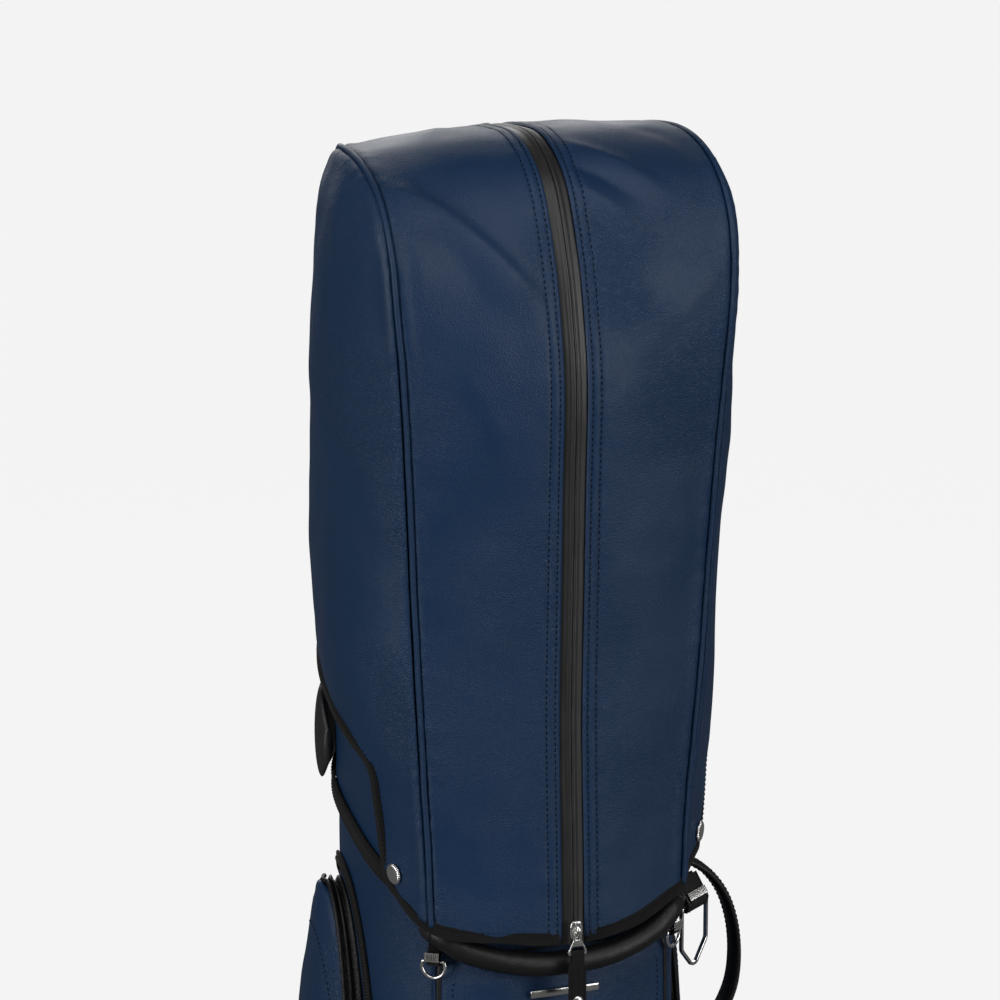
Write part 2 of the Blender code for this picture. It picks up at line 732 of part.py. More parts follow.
def bag_panel(name, start):
    """Curved quarter of the wall, from inside the base tray up to the slanted cuff joint."""
    low = SOLE_HEIGHT + GAP + TRAY_FLOOR + GAP
    seam_half = 0.002
    sections = []
    angles = steps(math.radians(start), math.radians(start + 90), RING_SEGMENTS // 4)
    angles[0] += seam_half
    angles[-1] -= seam_half
    for angle in angles:
        section = []
        for inset, at_top in ((0, False), (0, True), (WALL, True), (WALL, False)):
            point = oval_point(angle, BODY_X - inset, BODY_Y - inset, low)
            if at_top:
                point.z = trim_z(point.y) + TRIM_HEIGHT / 2
            section.append(point)
        sections.append(section)
    return loft(name, sections, "navy_leather")


def ring_wall(name, half_x, half_y, wall, bottom, top, slot):
    """Closed oval band with slanted edges; bottom and top give heights from y."""
    rings = []
    for inset, height in ((0, bottom), (0, top), (wall, top), (wall, bottom)):
        ring = []
        for angle in turn_angles():
            point = oval_point(angle, half_x - inset, half_y - inset, 0)
            point.z = height(point.y)
            ring.append(point)
        rings.append(ring)
    return loft(name, rings, slot, loop=True)


def bag_tube():
    for name, start in (("front", -135), ("right", -45), ("back", 45), ("left", 135)):
        bag_panel(f"bag_{name}_panel", start)
    joint = TRIM_HEIGHT / 2 + GAP
    ring_wall("cuff", CUFF_X, CUFF_Y, CUFF_WALL, lambda y: trim_z(y) + joint, rim_z, "navy_leather")
    ring_wall("cuff_rim", CUFF_X + 0.0012, CUFF_Y + 0.0012, CUFF_WALL + 0.0024,
              lambda y: rim_z(y) + GAP, lambda y: rim_z(y) + RIM_HEIGHT, "black_webbing")
    out = 0.0026
    ring_wall("cuff_lower_trim", CUFF_X + out + GAP, CUFF_Y + out + GAP, out,
              trim_z, lambda y: trim_z(y) + TRIM_HEIGHT, "black_webbing")


def divider_cell(side_x, side_y):
    """Plan outline of one quarter cell, inside the bars and the outer wall."""
    half = DIVIDER_BAR / 2
    inner_x, inner_y = CUFF_X - CUFF_WALL - 0.0070, CUFF_Y - CUFF_WALL - 0.0070
    outline = [Vector((side_x * half, BODY_CENTRE_Y + side_y * half))]
    for angle in steps(math.radians(5), math.radians(85), 8):
        point = oval_point(angle, inner_x, inner_y, 0)
        outline.append(Vector((side_x * max(point.x, half),
                               BODY_CENTRE_Y + side_y * max(point.y - BODY_CENTRE_Y, half))))
    return outline


def divider():
    """Padded four-way top grid and the full-length sheets that hang from it."""
    inset = CUFF_WALL + GAP
    top = lambda y: rim_z(y) - 0.0050
    rings = []
    for drop in (DIVIDER_DEPTH, 0):
        ring = []
        for angle in turn_angles():
            point = oval_point(angle, CUFF_X - inset, CUFF_Y - inset, 0)
            point.z = top(point.y) - drop
            ring.append(point)
        rings.append(ring)
    grid = loft("divider_top", rings, "moulded_black")
    for side_x in (-1, 1):
        for side_y in (-1, 1):
            outline = divider_cell(side_x, side_y)
            cell = loft_mesh([[Vector((p.x, p.y, z)) for p in outline] for z in (0.70, 1.0)])
            cut(grid, mesh_object("cell_cutter", cell, "moulded_black"))
    low = SOLE_HEIGHT + GAP + TRAY_FLOOR + 0.004
    reach_x, reach_y = BODY_X - WALL - 0.0010, BODY_Y - WALL - 0.0010

    def sheet(name, x0, x1, y0, y1):
        corners = [(x0, y0), (x1, y0), (x1, y1), (x0, y1)]
        bottom = [Vector((x, y, low)) for x, y in corners]
        lid = [Vector((x, y, top(y) - DIVIDER_DEPTH - GAP)) for x, y in corners]
        return loft(name, [bottom, lid], "lining")

    half, yc = SHEET / 2, BODY_CENTRE_Y
    sheet("divider_sheet_cross", -reach_x, reach_x, yc - half, yc + half)
    sheet("divider_sheet_front", -half, half, yc - reach_y, yc - half - GAP)
    sheet("divider_sheet_rear", -half, half, yc + half + GAP, yc + reach_y)


def base():
    """Flat rubber sole and the moulded tray that the walls stand in."""
    def ring(half_x, half_y, z):
        return [oval_point(a, half_x, half_y, z) for a in turn_angles()]

    out_x, out_y = BODY_X + GAP + TRAY_WALL, BODY_Y + GAP + TRAY_WALL
    loft("rubber_sole", [ring(out_x - 0.0045, out_y - 0.0045, 0), ring(out_x - 0.0030, out_y - 0.0030, 0.0015),
                         ring(out_x - 0.0030, out_y - 0.0030, SOLE_HEIGHT)], "rubber")
    floor = SOLE_HEIGHT + GAP
    loft("base_tray", [
        ring(out_x - 0.0020, out_y - 0.0020, floor), ring(out_x + 0.0030, out_y + 0.0030, floor + 0.0060),
        ring(out_x + 0.0010, out_y + 0.0010, TRAY_TOP - 0.0030), ring(out_x - 0.0010, out_y - 0.0010, TRAY_TOP),
        ring(BODY_X + GAP, BODY_Y + GAP, TRAY_TOP), ring(BODY_X + GAP, BODY_Y + GAP, floor + TRAY_FLOOR)],
        "moulded_black")


# ---- Pockets ------------------------------------------------------------------------------------

def arch_width(z, low, high, arch):
    """Share of a pocket's full width at a height, narrowing through an elliptical top."""
    corner = (high - low) * arch
    reach = max(z - (high - corner), 0) / corner
    return math.sqrt(max(1 - reach * reach, 0))


def pillow_pocket(name, start, end, low, high, depth, edge_depth, arch, slot="navy_leather",
                  columns=8, rows=8):
    """Soft pocket on the bag's wall, between two angles and two heights, with an arched top."""
    start, end = math.radians(start), math.radians(end)
    heights = steps(low, high - (high - low) * arch, rows - 4)
    heights += [lerp(heights[-1], high, share) for share in (0.45, 0.75, 0.92, 0.99)]
    skins = ([], [])
    for z in heights:
        width = arch_width(z, low, high, arch)
        w = 2 * (z - low) / (high - low) - 1
        rows_now = ([], [])
        for u in steps(-1, 1, columns):
            angle = lerp(start, end, (u * width + 1) / 2)
            fade = (1 - 0.75 * abs(u) ** 2.4) * (1 - 0.75 * abs(w) ** 4)
            rows_now[0].append(body_point(angle, z, edge_depth + (depth - edge_depth) * fade))
            rows_now[1].append(body_point(angle, z, FACET_ROOM))
        for skin, row in zip(skins, rows_now):
            skin.append(row)
    bm = bmesh.new()
    front, back = [[[bm.verts.new(p) for p in row] for row in skin] for skin in skins]
    for verts in (front, back):
        for i in range(rows):
            for j in range(columns):
                bm.faces.new((verts[i][j], verts[i][j + 1], verts[i + 1][j + 1], verts[i + 1][j]))
    border = [(0, j) for j in range(columns)] + [(i, columns) for i in range(rows)]
    border += [(rows, j) for j in range(columns, 0, -1)] + [(i, 0) for i in range(rows, 0, -1)]
    for (i0, j0), (i1, j1) in zip(border, border[1:] + border[:1]):
        bm.faces.new((front[i0][j0], front[i1][j1], back[i1][j1], back[i0][j0]))
    bmesh.ops.recalc_face_normals(bm, faces=bm.faces)
    return mesh_object(name, bm, slot)


def pocket_zip(name, start, end, low, high, arch):
    """Zipper cord that climbs one side of a pocket, crosses its top and goes down the other."""
    start, end = math.radians(start), math.radians(end)
    corner = (high - low) * arch
    path = [(0.0, z) for z in steps(low, high - corner, 4)]
    for turn in steps(0, math.pi / 2, 7)[1:]:
        path.append((0.5 * (1 - math.cos(turn)), high - corner + corner * math.sin(turn)))
    path += [(1 - u, z) for u, z in path[-2::-1]]
    points = [body_point(lerp(start, end, u), z, ZIP_CORD_R + FACET_ROOM) for u, z in path]
    return tube(name, points, ZIP_CORD_R, "zip_tape")


def zip_toggle(name, angle, z):
    """Pocket zip slider with its pull, as one metal piece that hangs from the slider."""
    angle = math.radians(angle)
    thickness = 0.0024
    offset = FACET_ROOM + 2 * ZIP_CORD_R + 2 * GAP + thickness / 2
    place = facing(body_point(angle, z, offset), oval_normal(angle, BODY_X, BODY_Y))
    outline = [(-0.0036, 0.0070), (0.0036, 0.0070), (0.0042, -0.0010), (0.0026, -0.0060), (0.0030, -0.0280),
               (-0.0030, -0.0280), (-0.0026, -0.0060), (-0.0042, -0.0010)]
    hole = [(-0.0012, -0.0250), (-0.0012, -0.0200), (0.0012, -0.0200), (0.0012, -0.0250)]
    return plate(name, [outline, hole], thickness, place, "silver_metal")


FRONT_POCKET = dict(start=-133, end=-47, low=0.470, high=0.686, arch=0.05)
BALL_POCKET = dict(start=-131, end=-49, low=0.110, high=0.420, arch=0.22)
BALL_ZIP = dict(start=-137, end=-43, low=0.125, high=0.4320, arch=0.22)
SIDE_POCKET = dict(start=-9, end=48, low=0.110, high=0.706, arch=0.22)
SIDE_ZIP = dict(start=-15, end=54, low=0.130, high=0.7180, arch=0.22)


def mirror_angles(span):
    """The same span on the left side of the bag."""
    return dict(span, start=180 - span["end"], end=180 - span["start"])


def pockets():
    """Pockets and their zips; returns the sliders, which move."""
    pillow_pocket("front_pocket", depth=0.0100, edge_depth=0.0030, **FRONT_POCKET)
    pillow_pocket("ball_pocket", depth=0.0450, edge_depth=0.0220, **BALL_POCKET)
    pillow_pocket("side_pocket_right", depth=0.0320, edge_depth=0.0100, rows=12, **SIDE_POCKET)
    pillow_pocket("side_pocket_left", depth=0.0320, edge_depth=0.0100, rows=12, **mirror_angles(SIDE_POCKET))
    pocket_zip("side_pocket_zip_right", **SIDE_ZIP)
    pocket_zip("side_pocket_zip_left", **mirror_angles(SIDE_ZIP))
    pocket_zip("ball_pocket_zip", **BALL_ZIP)
    toggles = {
        "side_zip_slider_right": (SIDE_ZIP["start"], 0.450),
        "side_zip_slider_left": (180 - SIDE_ZIP["start"], 0.450),
        "ball_zip_slider": (BALL_ZIP["end"], 0.300),
    }
    for name, (angle, z) in toggles.items():
        slider = zip_toggle(name, angle, z)
        pivot(name + "_start", body_point(math.radians(angle), z), [slider])


# ---- Handles, rings and small hardware ----------------------------------------------------------

def arc_handle():
    """Soft lift handle across the front, bowed down and out from the walls."""
    ends = math.radians(-45)
    root = body_point(ends, 0.7190, 0.0012)
    out = oval_normal(ends, BODY_X, BODY_Y)
    half = [root, root + out * 0.0060, Vector((0.0800, -0.0870, 0.7160))]
    for share in (0.78, 0.60, 0.40, 0.20, 0.0):
        bow = share ** 2.3
        half.append(Vector((0.0850 * share, lerp(-0.1060, -0.0850, bow), lerp(0.6945, 0.7160, bow))))
    path = half[:-1] + [half[-1]] + [mirrored(p, -1) for p in half[-2::-1]]
    return tube("front_lift_handle", path, HANDLE_R, "soft_grip", resolution=2)


def rear_handle():
    """Moulded grip behind the cuff: tall roots at the rear corners and a rounder bar between them."""
    rings = []
    for angle_deg, z, off, tall, thick in (
            (22, 0.806, 0.0055, 0.022, 0.006), (30, 0.808, 0.0092, 0.058, 0.009), (42, 0.812, 0.0112, 0.062, 0.012),
            (55, 0.821, 0.0165, 0.046, 0.014), (70, 0.828, 0.0250, 0.030, 0.016), (90, 0.828, 0.0290, 0.026, 0.018)):
        rings.append((angle_deg, z, off, tall, thick))
    rings += [(180 - a, z, o, h, w) for a, z, o, h, w in rings[-2::-1]]
    sections = []
    for angle_deg, z, off, tall, thick in rings:
        angle = math.radians(angle_deg)
        normal = oval_normal(angle, CUFF_X, CUFF_Y)
        centre = cuff_point(angle, z, off)
        sections.append([
            centre + normal * (thick / 2 * math.cos(a)) + Vector((0, 0, tall / 2 * math.sin(a)))
            for a in [2 * math.pi * k / 10 for k in range(10)]])
    return loft("rear_handle", sections, "moulded_black")


def grab_handle():
    """Leather strap handle on the right side, bowed out from two roots one above the other."""
    path = [(0.1030, 0.7290), (0.1120, 0.7280), (0.1260, 0.7180), (0.1380, 0.7000), (0.1445, 0.6780),
            (0.1460, 0.6560), (0.1430, 0.6340), (0.1330, 0.6160), (0.1180, 0.6060), (0.1030, 0.6040)]
    rings = []
    for i, (x, z) in enumerate(path):
        (x0, z0), (x1, z1) = path[max(i - 1, 0)], path[min(i + 1, len(path) - 1)]
        tangent = Vector((x1 - x0, 0, z1 - z0)).normalized()
        normal = tangent.cross(Vector((0, 1, 0)))
        rings.append(box_section(Vector((x, GRAB_Y, z)), Vector((0, 1, 0)), normal, 0.0180, 0.0060))
    return loft("side_grab_handle", rings, "black_leather")


RING_ANGLE = -46.0                      # D-rings sit at the front pocket's upper corners
RING_PIVOT_Z = 0.6975
D_RING_R = 0.0078
D_RING_WIRE = 0.0011
D_RING_OFF = 0.0100


def d_ring(side, word):
    """Webbing tab with a ribbed clamp, and the D-ring that swings in its fold."""
    angle = math.radians(RING_ANGLE if side > 0 else 180 - RING_ANGLE)
    normal = oval_normal(angle, BODY_X, BODY_Y)
    along = Vector((0, 0, 1)).cross(normal)
    axle = body_point(angle, RING_PIVOT_Z, D_RING_OFF)
    half_bar = D_RING_R - 0.0006
    loop = [axle + along * x for x in steps(-half_bar, half_bar, 3)]
    for turn in steps(0, math.pi, 9):
        loop.append(axle + along * (D_RING_R * math.cos(turn))
                    - Vector((0, 0, 1)) * (0.0030 + 1.05 * D_RING_R * math.sin(turn)))
    ring = tube("d_ring_" + word, loop, D_RING_WIRE, "silver_metal", closed=True)
    rings = []
    fold = 0.0024
    path = [(D_RING_OFF - 0.0085, 0.0088), (D_RING_OFF - 0.0060, 0.0058), (D_RING_OFF - fold, 0.0028)]
    path += [(D_RING_OFF - fold * math.cos(a), -fold * math.sin(a)) for a in steps(0, math.pi, 6)]
    path += [(D_RING_OFF + fold, 0.0028), (D_RING_OFF - 0.0020, 0.0072), (D_RING_OFF - 0.0045, 0.0104)]
    for i, (off, z) in enumerate(path):
        (o0, z0), (o1, z1) = path[max(i - 1, 0)], path[min(i + 1, len(path) - 1)]
        tangent = (normal * (o1 - o0) + Vector((0, 0, z1 - z0))).normalized()
        centre = body_point(angle, RING_PIVOT_Z + z, off)
        rings.append(box_section(centre, along, tangent.cross(along), 0.0086, 0.0012))
    loft("d_ring_tab_" + word, rings, "black_webbing")
    centre = body_point(angle, RING_PIVOT_Z + 0.0042, D_RING_OFF + 0.0042)
    rounded_box("d_ring_clamp_" + word, (0.0096, 0.0060, 0.0012), facing(centre, normal),
                "silver_metal", 0.0003)
    pivot("d_ring_axis_" + word, axle, [ring])


TOWEL_ANGLE = -35.0
TOWEL_TURN = -22.0             # its plane is turned from the wall, towards the front
TOWEL_PIVOT_Z = 0.7080
TOWEL_OFF = 0.0150


def towel_ring():
    """Leather tab and the six-sided flat band ring that swings from it."""
    angle = math.radians(TOWEL_ANGLE)
    normal = Matrix.Rotation(math.radians(TOWEL_TURN), 3, "Z") @ oval_normal(angle, BODY_X, BODY_Y)
    axle = body_point(angle, TOWEL_PIVOT_Z, TOWEL_OFF)
    half_w, drop, tip = 0.0165, 0.0290, 0.0430
    bar, gauge = 0.0010, 0.0018
    outer = [(-half_w, bar), (half_w, bar), (half_w, -drop), (0.0030, -tip), (-0.0030, -tip), (-half_w, -drop)]
    inner = [(-half_w + gauge, bar - gauge), (-half_w + gauge, -drop + 0.0010), (-0.0024, -tip + 0.0021),
             (0.0024, -tip + 0.0021), (half_w - gauge, -drop + 0.0010), (half_w - gauge, bar - gauge)]
    ring = plate("towel_ring", [outer, inner], 0.0030, facing(axle, normal), "silver_metal")
    along = Vector((0, 0, 1)).cross(normal)
    rings = []
    fold = 0.0034
    path = [(-0.0090, 0.0170), (-0.0080, 0.0110), (-fold, 0.0030)]
    path += [(-fold * math.cos(a), -fold * math.sin(a)) for a in steps(0, math.pi, 6)]
    path += [(fold, 0.0030), (-0.0010, 0.0095), (-0.0060, 0.0175)]
    for i, (off, z) in enumerate(path):
        (o0, z0), (o1, z1) = path[max(i - 1, 0)], path[min(i + 1, len(path) - 1)]
        tangent = (normal * (o1 - o0) + Vector((0, 0, z1 - z0))).normalized()
        centre = axle + normal * off + Vector((0, 0, z - 0.0001))
        rings.append(box_section(centre, along, tangent.cross(along), 0.0250, 0.0014))
    loft("towel_ring_tab", rings, "black_leather")
    slope = (Vector((0, 0, 0.0065)) - normal * 0.0044).normalized()
    face = along.cross(slope)
    if face.dot(normal) < 0:
        face = -face
    centre = axle + normal * 0.0012 + Vector((0, 0, 0.0062)) + face * (0.0007 + GAP + 0.0006 + 0.0003)
    rounded_box("towel_ring_clamp", (0.0220, 0.0052, 0.0012), facing(centre, face), "silver_metal", 0.0003)
    pivot("towel_ring_axis", axle, [ring])


def name_bar():
    """Thin blank metal bar bowed across the front pocket where a badge would sit."""
    rings = []
    for angle_deg in steps(-103.5, -76.5, 6):
        angle = math.radians(angle_deg)
        normal = oval_normal(angle, BODY_X, BODY_Y)
        rings.append(box_section(body_point(angle, NAME_BAR_Z, 0.0112), Vector((0, 0, 1)), normal, 0.0050, 0.0012))
    return loft("name_bar", rings, "silver_metal")


def spine_pad():
    """Padded back panel."""
    return pillow_pocket("spine_pad", 66, 114, 0.120, 0.680, 0.0120, 0.0060, 0.05, "black_webbing")


# ---- Assembly -----------------------------------------------------------------------------------

def build():
    base()
    bag_tube()
    divider()
    pockets()
    spine_pad()
    name_bar()
    arc_handle()
    rear_handle()
    for side, word in ((-1, "left"), (1, "right")):
        d_ring(side, word)
    towel_ring()
    pivot("grab_handle_axis", (0.1030, GRAB_Y, 0.6665), [grab_handle()])

    hood = [hood_front(-1, "hood_front_left"), hood_front(1, "hood_front_right")]
    sides = {-1: hood_side(-1, "hood_side_left"), 1: hood_side(1, "hood_side_right")}
    back = hood_back()
    hood += [*sides.values(), back]
    hood += [piping(-1, "piping_left"), piping(1, "piping_right"), hem_binding(), *zipper()]
    hood += snaps(sides, back)
    hood_empty = pivot("hood_rest", (0, 0, seam(0).z), hood)

    slider, puller = zip_slider(), zip_puller()
    tab_axis = pivot("pull_tab_axis", TAB_PIVOT, pull_tab())
    puller_axis = pivot("puller_axis", PULLER_PIVOT, [puller, tab_axis])
    slider_rest = pivot("slider_rest", (0, SLIDER_BACK_Y, SLIDER_Z), [slider, puller_axis])
    slider_rest.parent = hood_empty
    slider_rest.matrix_parent_inverse = hood_empty.matrix_world.inverted()


build()
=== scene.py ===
"""Looks of a golf cart bag that wears its zip-up rain hood: leather panels, seams, zipper and hardware."""
import json
import math

import bmesh
import bpy
import numpy as np
from mathutils import Matrix, Vector


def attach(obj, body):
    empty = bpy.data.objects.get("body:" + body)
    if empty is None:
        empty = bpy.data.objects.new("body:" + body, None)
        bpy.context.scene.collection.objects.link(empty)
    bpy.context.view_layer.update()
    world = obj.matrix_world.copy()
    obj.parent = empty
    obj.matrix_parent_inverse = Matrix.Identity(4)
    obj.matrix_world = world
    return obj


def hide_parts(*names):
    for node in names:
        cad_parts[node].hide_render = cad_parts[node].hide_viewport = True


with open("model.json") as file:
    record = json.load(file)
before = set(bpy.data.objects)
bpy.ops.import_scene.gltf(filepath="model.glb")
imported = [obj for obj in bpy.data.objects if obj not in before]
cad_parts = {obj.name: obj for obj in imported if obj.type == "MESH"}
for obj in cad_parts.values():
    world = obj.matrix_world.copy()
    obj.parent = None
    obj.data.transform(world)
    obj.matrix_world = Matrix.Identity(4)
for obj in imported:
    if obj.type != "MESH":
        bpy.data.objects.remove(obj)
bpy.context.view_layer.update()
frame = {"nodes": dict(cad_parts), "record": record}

# ---- Sizes shared with the frame, in metres -----------------------------------------------------

# Half of the hood's seam cage, from the front hem over the crown to the back hem:
# seam x, seam y, seam z, then y and z of the middle line beside it.
HOOD_PROFILE = np.array((
    (0.0894, -0.0958, 0.7290, -0.1165, 0.7100),
    (0.0922, -0.0936, 0.7990, -0.1150, 0.7880),
    (0.0961, -0.0936, 0.8715, -0.1140, 0.8620),
    (0.0997, -0.0941, 0.9425, -0.1140, 0.9340),
    (0.1036, -0.0976, 1.0130, -0.1155, 1.0060),
    (0.1084, -0.1012, 1.0830, -0.1180, 1.0750),
    (0.1120, -0.1015, 1.1250, -0.1115, 1.1200),
    (0.1140, -0.0945, 1.1680, -0.1000, 1.1600),
    (0.1138, -0.0740, 1.1970, -0.0780, 1.2020),
    (0.1130, -0.0400, 1.2125, -0.0420, 1.2225),
    (0.1100, 0.0000, 1.2150, 0.0000, 1.2228),
    (0.1010, 0.0400, 1.2065, 0.0450, 1.2128),
    (0.0920, 0.0680, 1.1820, 0.0800, 1.1905),
    (0.0865, 0.0810, 1.1450, 0.0980, 1.1550),
    (0.0850, 0.0840, 1.0800, 0.1040, 1.0850),
    (0.0865, 0.0890, 0.9800, 0.1100, 0.9800),
    (0.0885, 0.0940, 0.8700, 0.1165, 0.8700),
))
BACK_HEM = len(HOOD_PROFILE) - 1
FRONT_CORNER = 8.3              # profile positions of the side panels' top corners
BACK_CORNER = 12.7
CROWN_SEAM = 11.2               # cross seam where the zipper stops
SIDE_BULGE = 0.042
BULGE_TAPER = 0.0185
FLAP_BULGE = 0.032
BINDING_WIDTH = 0.0090
BINDING_ROOM = BINDING_WIDTH + 0.0006
UNDER_BINDING = 0.0050          # how far the leather runs on inside the binding
CUT_Z = 0.8210                  # the side cut-outs' front top corner
CUT_RISE = 0.0490
FLAP_EDGE_Y = -0.0510
FLAP_Z = 0.7420
FLAP_CORNER_R = 0.0130
PIPING_R = 0.0019
ZIP_HALF = 0.0077
SKIN = 0.0020

BODY_CENTRE_Y = 0.0060
BODY_X = 0.1035                 # half sizes of the bag's oval tube
BODY_Y = 0.0960
BODY_POWER = 3.0
CUFF_X = 0.1055
CUFF_Y = 0.0990
DIVIDER_HEIGHT = 0.0300
TRAY_X = BODY_X + 0.0039
TRAY_Y = BODY_Y + 0.0039
TRAY_TOP = 0.0600
TRAY_FLOOR = 0.0083
WALL_FOOT = 0.0105
GRAB_Y = -0.0380                # side grab handle's plane
SNAP_Y = -0.0665                # the two snaps on the flaps
SNAP_Z = 0.7580
REAR_SNAP_Z = 0.8880
PULL_Y = -0.1184                # the hood's zipper slider
PULL_Z = 0.7207
RING_ANGLE = -46.0              # degrees round the tube, as are all angles named here
RING_Z = 0.6975
RING_OUT = 0.0100               # from the wall to the ring's bar
TOWEL_ANGLE = -35.0
TOWEL_TURN = -22.0
TOWEL_Z = 0.7080
TOWEL_OUT = 0.0150
NAME_BAR_Z = 0.6730
COIL_PITCH = 0.0021             # pocket zippers
WRAP_SHARE = 0.93               # how far out the lift handle's end wraps sit
STRAP_STITCH = dict(pitch=0.0036, length=0.0025, radius=0.00028)
SIDES = ((-1, "left"), (1, "right"))
Z = np.array((0.0, 0.0, 1.0))

# ---- Camera, floor and light --------------------------------------------------------------------

CAMERA_PLACE = (-1.17597, -3.06351, 1.88186)
CAMERA_TURN = (74.558, 0.0, -20.898)        # degrees
CAMERA_LENS = 189.33                        # mm, on a 36 mm sensor
PALE = 0.896                                # linear grey of floor and backdrop
SOFTBOXES = (                               # place, target, width, height, watts
    ((-0.2, -1.6, 3.0), (0, 0, 1.0), 2.4, 1.4, 23.0),
    ((-3.2, -1.2, 1.5), (0, 0, 0.9), 1.4, 2.6, 70.0),
    ((2.2, -3.2, 1.6), (0, 0, 0.8), 1.6, 2.6, 63.0),
    ((0.6, 3.0, 2.0), (0, 0, 0.8), 1.8, 2.2, 34.0),
)


def make_stage():
    """Pale floor and dome that light nothing themselves, soft boxes, and the camera."""
    scene = bpy.context.scene
    pale = bpy.data.materials.new("pale_studio")
    pale.use_nodes = True
    shader = pale.node_tree.nodes["Principled BSDF"]
    shader.inputs["Base Color"].default_value = (0.012, 0.012, 0.012, 1)
    shader.inputs["Roughness"].default_value = 1.0
    shader.inputs["Specular IOR Level"].default_value = 0.0
    shader.inputs["Emission Color"].default_value = (PALE, PALE, PALE, 1)
    shader.inputs["Emission Strength"].default_value = 1.0
    floor_mesh = bmesh.new()
    bmesh.ops.create_circle(floor_mesh, cap_ends=True, segments=64, radius=40)
    dome_mesh = bmesh.new()
    bmesh.ops.create_uvsphere(dome_mesh, u_segments=48, v_segments=24, radius=38)
    for name, bm in (("floor", floor_mesh), ("backdrop", dome_mesh)):
        data = bpy.data.meshes.new(name)
        bm.to_mesh(data)
        bm.free()
        data.materials.append(pale)
        data.shade_smooth()
        obj = bpy.data.objects.new(name, data)
        scene.collection.objects.link(obj)
        obj.visible_diffuse = False
        obj.visible_glossy = False
        obj.visible_shadow = False
    world = bpy.data.worlds.new("studio")
    world.use_nodes = True
    world.node_tree.nodes["Background"].inputs["Color"].default_value = (1, 1, 1, 1)
    world.node_tree.nodes["Background"].inputs["Strength"].default_value = 0.10
    scene.world = world
    for i, (place, target, width, height, watts) in enumerate(SOFTBOXES):
        light = bpy.data.lights.new(f"softbox_{i}", "AREA")
        light.shape = "RECTANGLE"
        light.size, light.size_y = width, height
        light.energy = watts
        lamp = bpy.data.objects.new(light.name, light)
        scene.collection.objects.link(lamp)
        lamp.location = place
        lamp.rotation_euler = (Vector(target) - Vector(place)).to_track_quat("-Z", "Y").to_euler()
    camera = bpy.data.objects.new("camera", bpy.data.cameras.new("camera"))
    scene.collection.objects.link(camera)
    camera.location = CAMERA_PLACE
    camera.rotation_euler = [math.radians(a) for a in CAMERA_TURN]
    camera.data.lens = CAMERA_LENS
    camera.data.clip_end = 200
    scene.camera = camera
    scene.view_settings.view_transform = "Standard"


make_stage()

# ---- Materials ----------------------------------------------------------------------------------

BAND_SPAN = 3.14159             # a Wave node of scale s has bands 1 / (BAND_SPAN * s) apart

class Recipe:
    """A Principled material and short calls that wire procedural nodes into it."""

    def __init__(self, name, colour, roughness, metallic=0.0):
        self.made = bpy.data.materials.new(name)
        self.made.use_nodes = True
        self.tree = self.made.node_tree
        self.shader = self.tree.nodes["Principled BSDF"]
        self.colour = (*colour, 1.0)
        self.set("Base Color", self.colour)
        self.set("Roughness", roughness)
        self.set("Metallic", metallic)
        self.coordinates = self.tree.nodes.new("ShaderNodeTexCoord")
        self.height = None

    def set(self, socket, value):
        self.shader.inputs[socket].default_value = value

    def node(self, kind, values=None, **settings):
        made = self.tree.nodes.new(kind)
        for key, value in settings.items():
            setattr(made, key, value)
        for key, value in (values or {}).items():
            if hasattr(value, "is_output"):
                self.tree.links.new(value, made.inputs[key])
            else:
                made.inputs[key].default_value = value
        return made

    def place(self, space="Object", stretch=(1, 1, 1)):
        moved = self.node("ShaderNodeMapping", {"Vector": self.coordinates.outputs[space], "Scale": stretch})
        return moved.outputs["Vector"]

    def noise(self, scale, detail=3.0, stretch=(1, 1, 1)):
        return self.node("ShaderNodeTexNoise", {
            "Vector": self.place(stretch=stretch), "Scale": scale, "Detail": detail}).outputs["Fac"]

    def wave(self, scale, direction, space="UV", distortion=0.0):
        return self.node("ShaderNodeTexWave", {
            "Vector": self.place(space), "Scale": scale, "Distortion": distortion},
            wave_type="BANDS", bands_direction=direction).outputs["Fac"]

    def range(self, value, low, high, to_low, to_high):
        limits = {"From Min": low, "From Max": high, "To Min": to_low, "To Max": to_high}
        return self.node("ShaderNodeMapRange", {"Value": value, **limits}).outputs["Result"]

    def maths(self, operation, a, b):
        return self.node("ShaderNodeMath", {0: a, 1: b}, operation=operation).outputs["Value"]

    def tint(self, factor, share):
        """Base colour that varies by a share between darker and lighter."""
        dark = tuple(c * (1 - share) for c in self.colour[:3]) + (1,)
        light = tuple(min(c * (1 + share), 1) for c in self.colour[:3]) + (1,)
        mix = self.node("ShaderNodeMix", {"Factor": factor, 6: dark, 7: light}, data_type="RGBA")
        self.tree.links.new(mix.outputs[2], self.shader.inputs["Base Color"])

    def rough(self, factor, low, high):
        self.tree.links.new(self.range(factor, 0, 1, low, high), self.shader.inputs["Roughness"])

    def bump(self, value, distance, strength=1.0):
        """Add one layer of relief, distance deep in metres, on top of the last."""
        values = {"Height": value, "Distance": distance, "Strength": strength}
        if self.height is not None:
            values["Normal"] = self.height
        self.height = self.node("ShaderNodeBump", values).outputs["Normal"]
        self.tree.links.new(self.height, self.shader.inputs["Normal"])


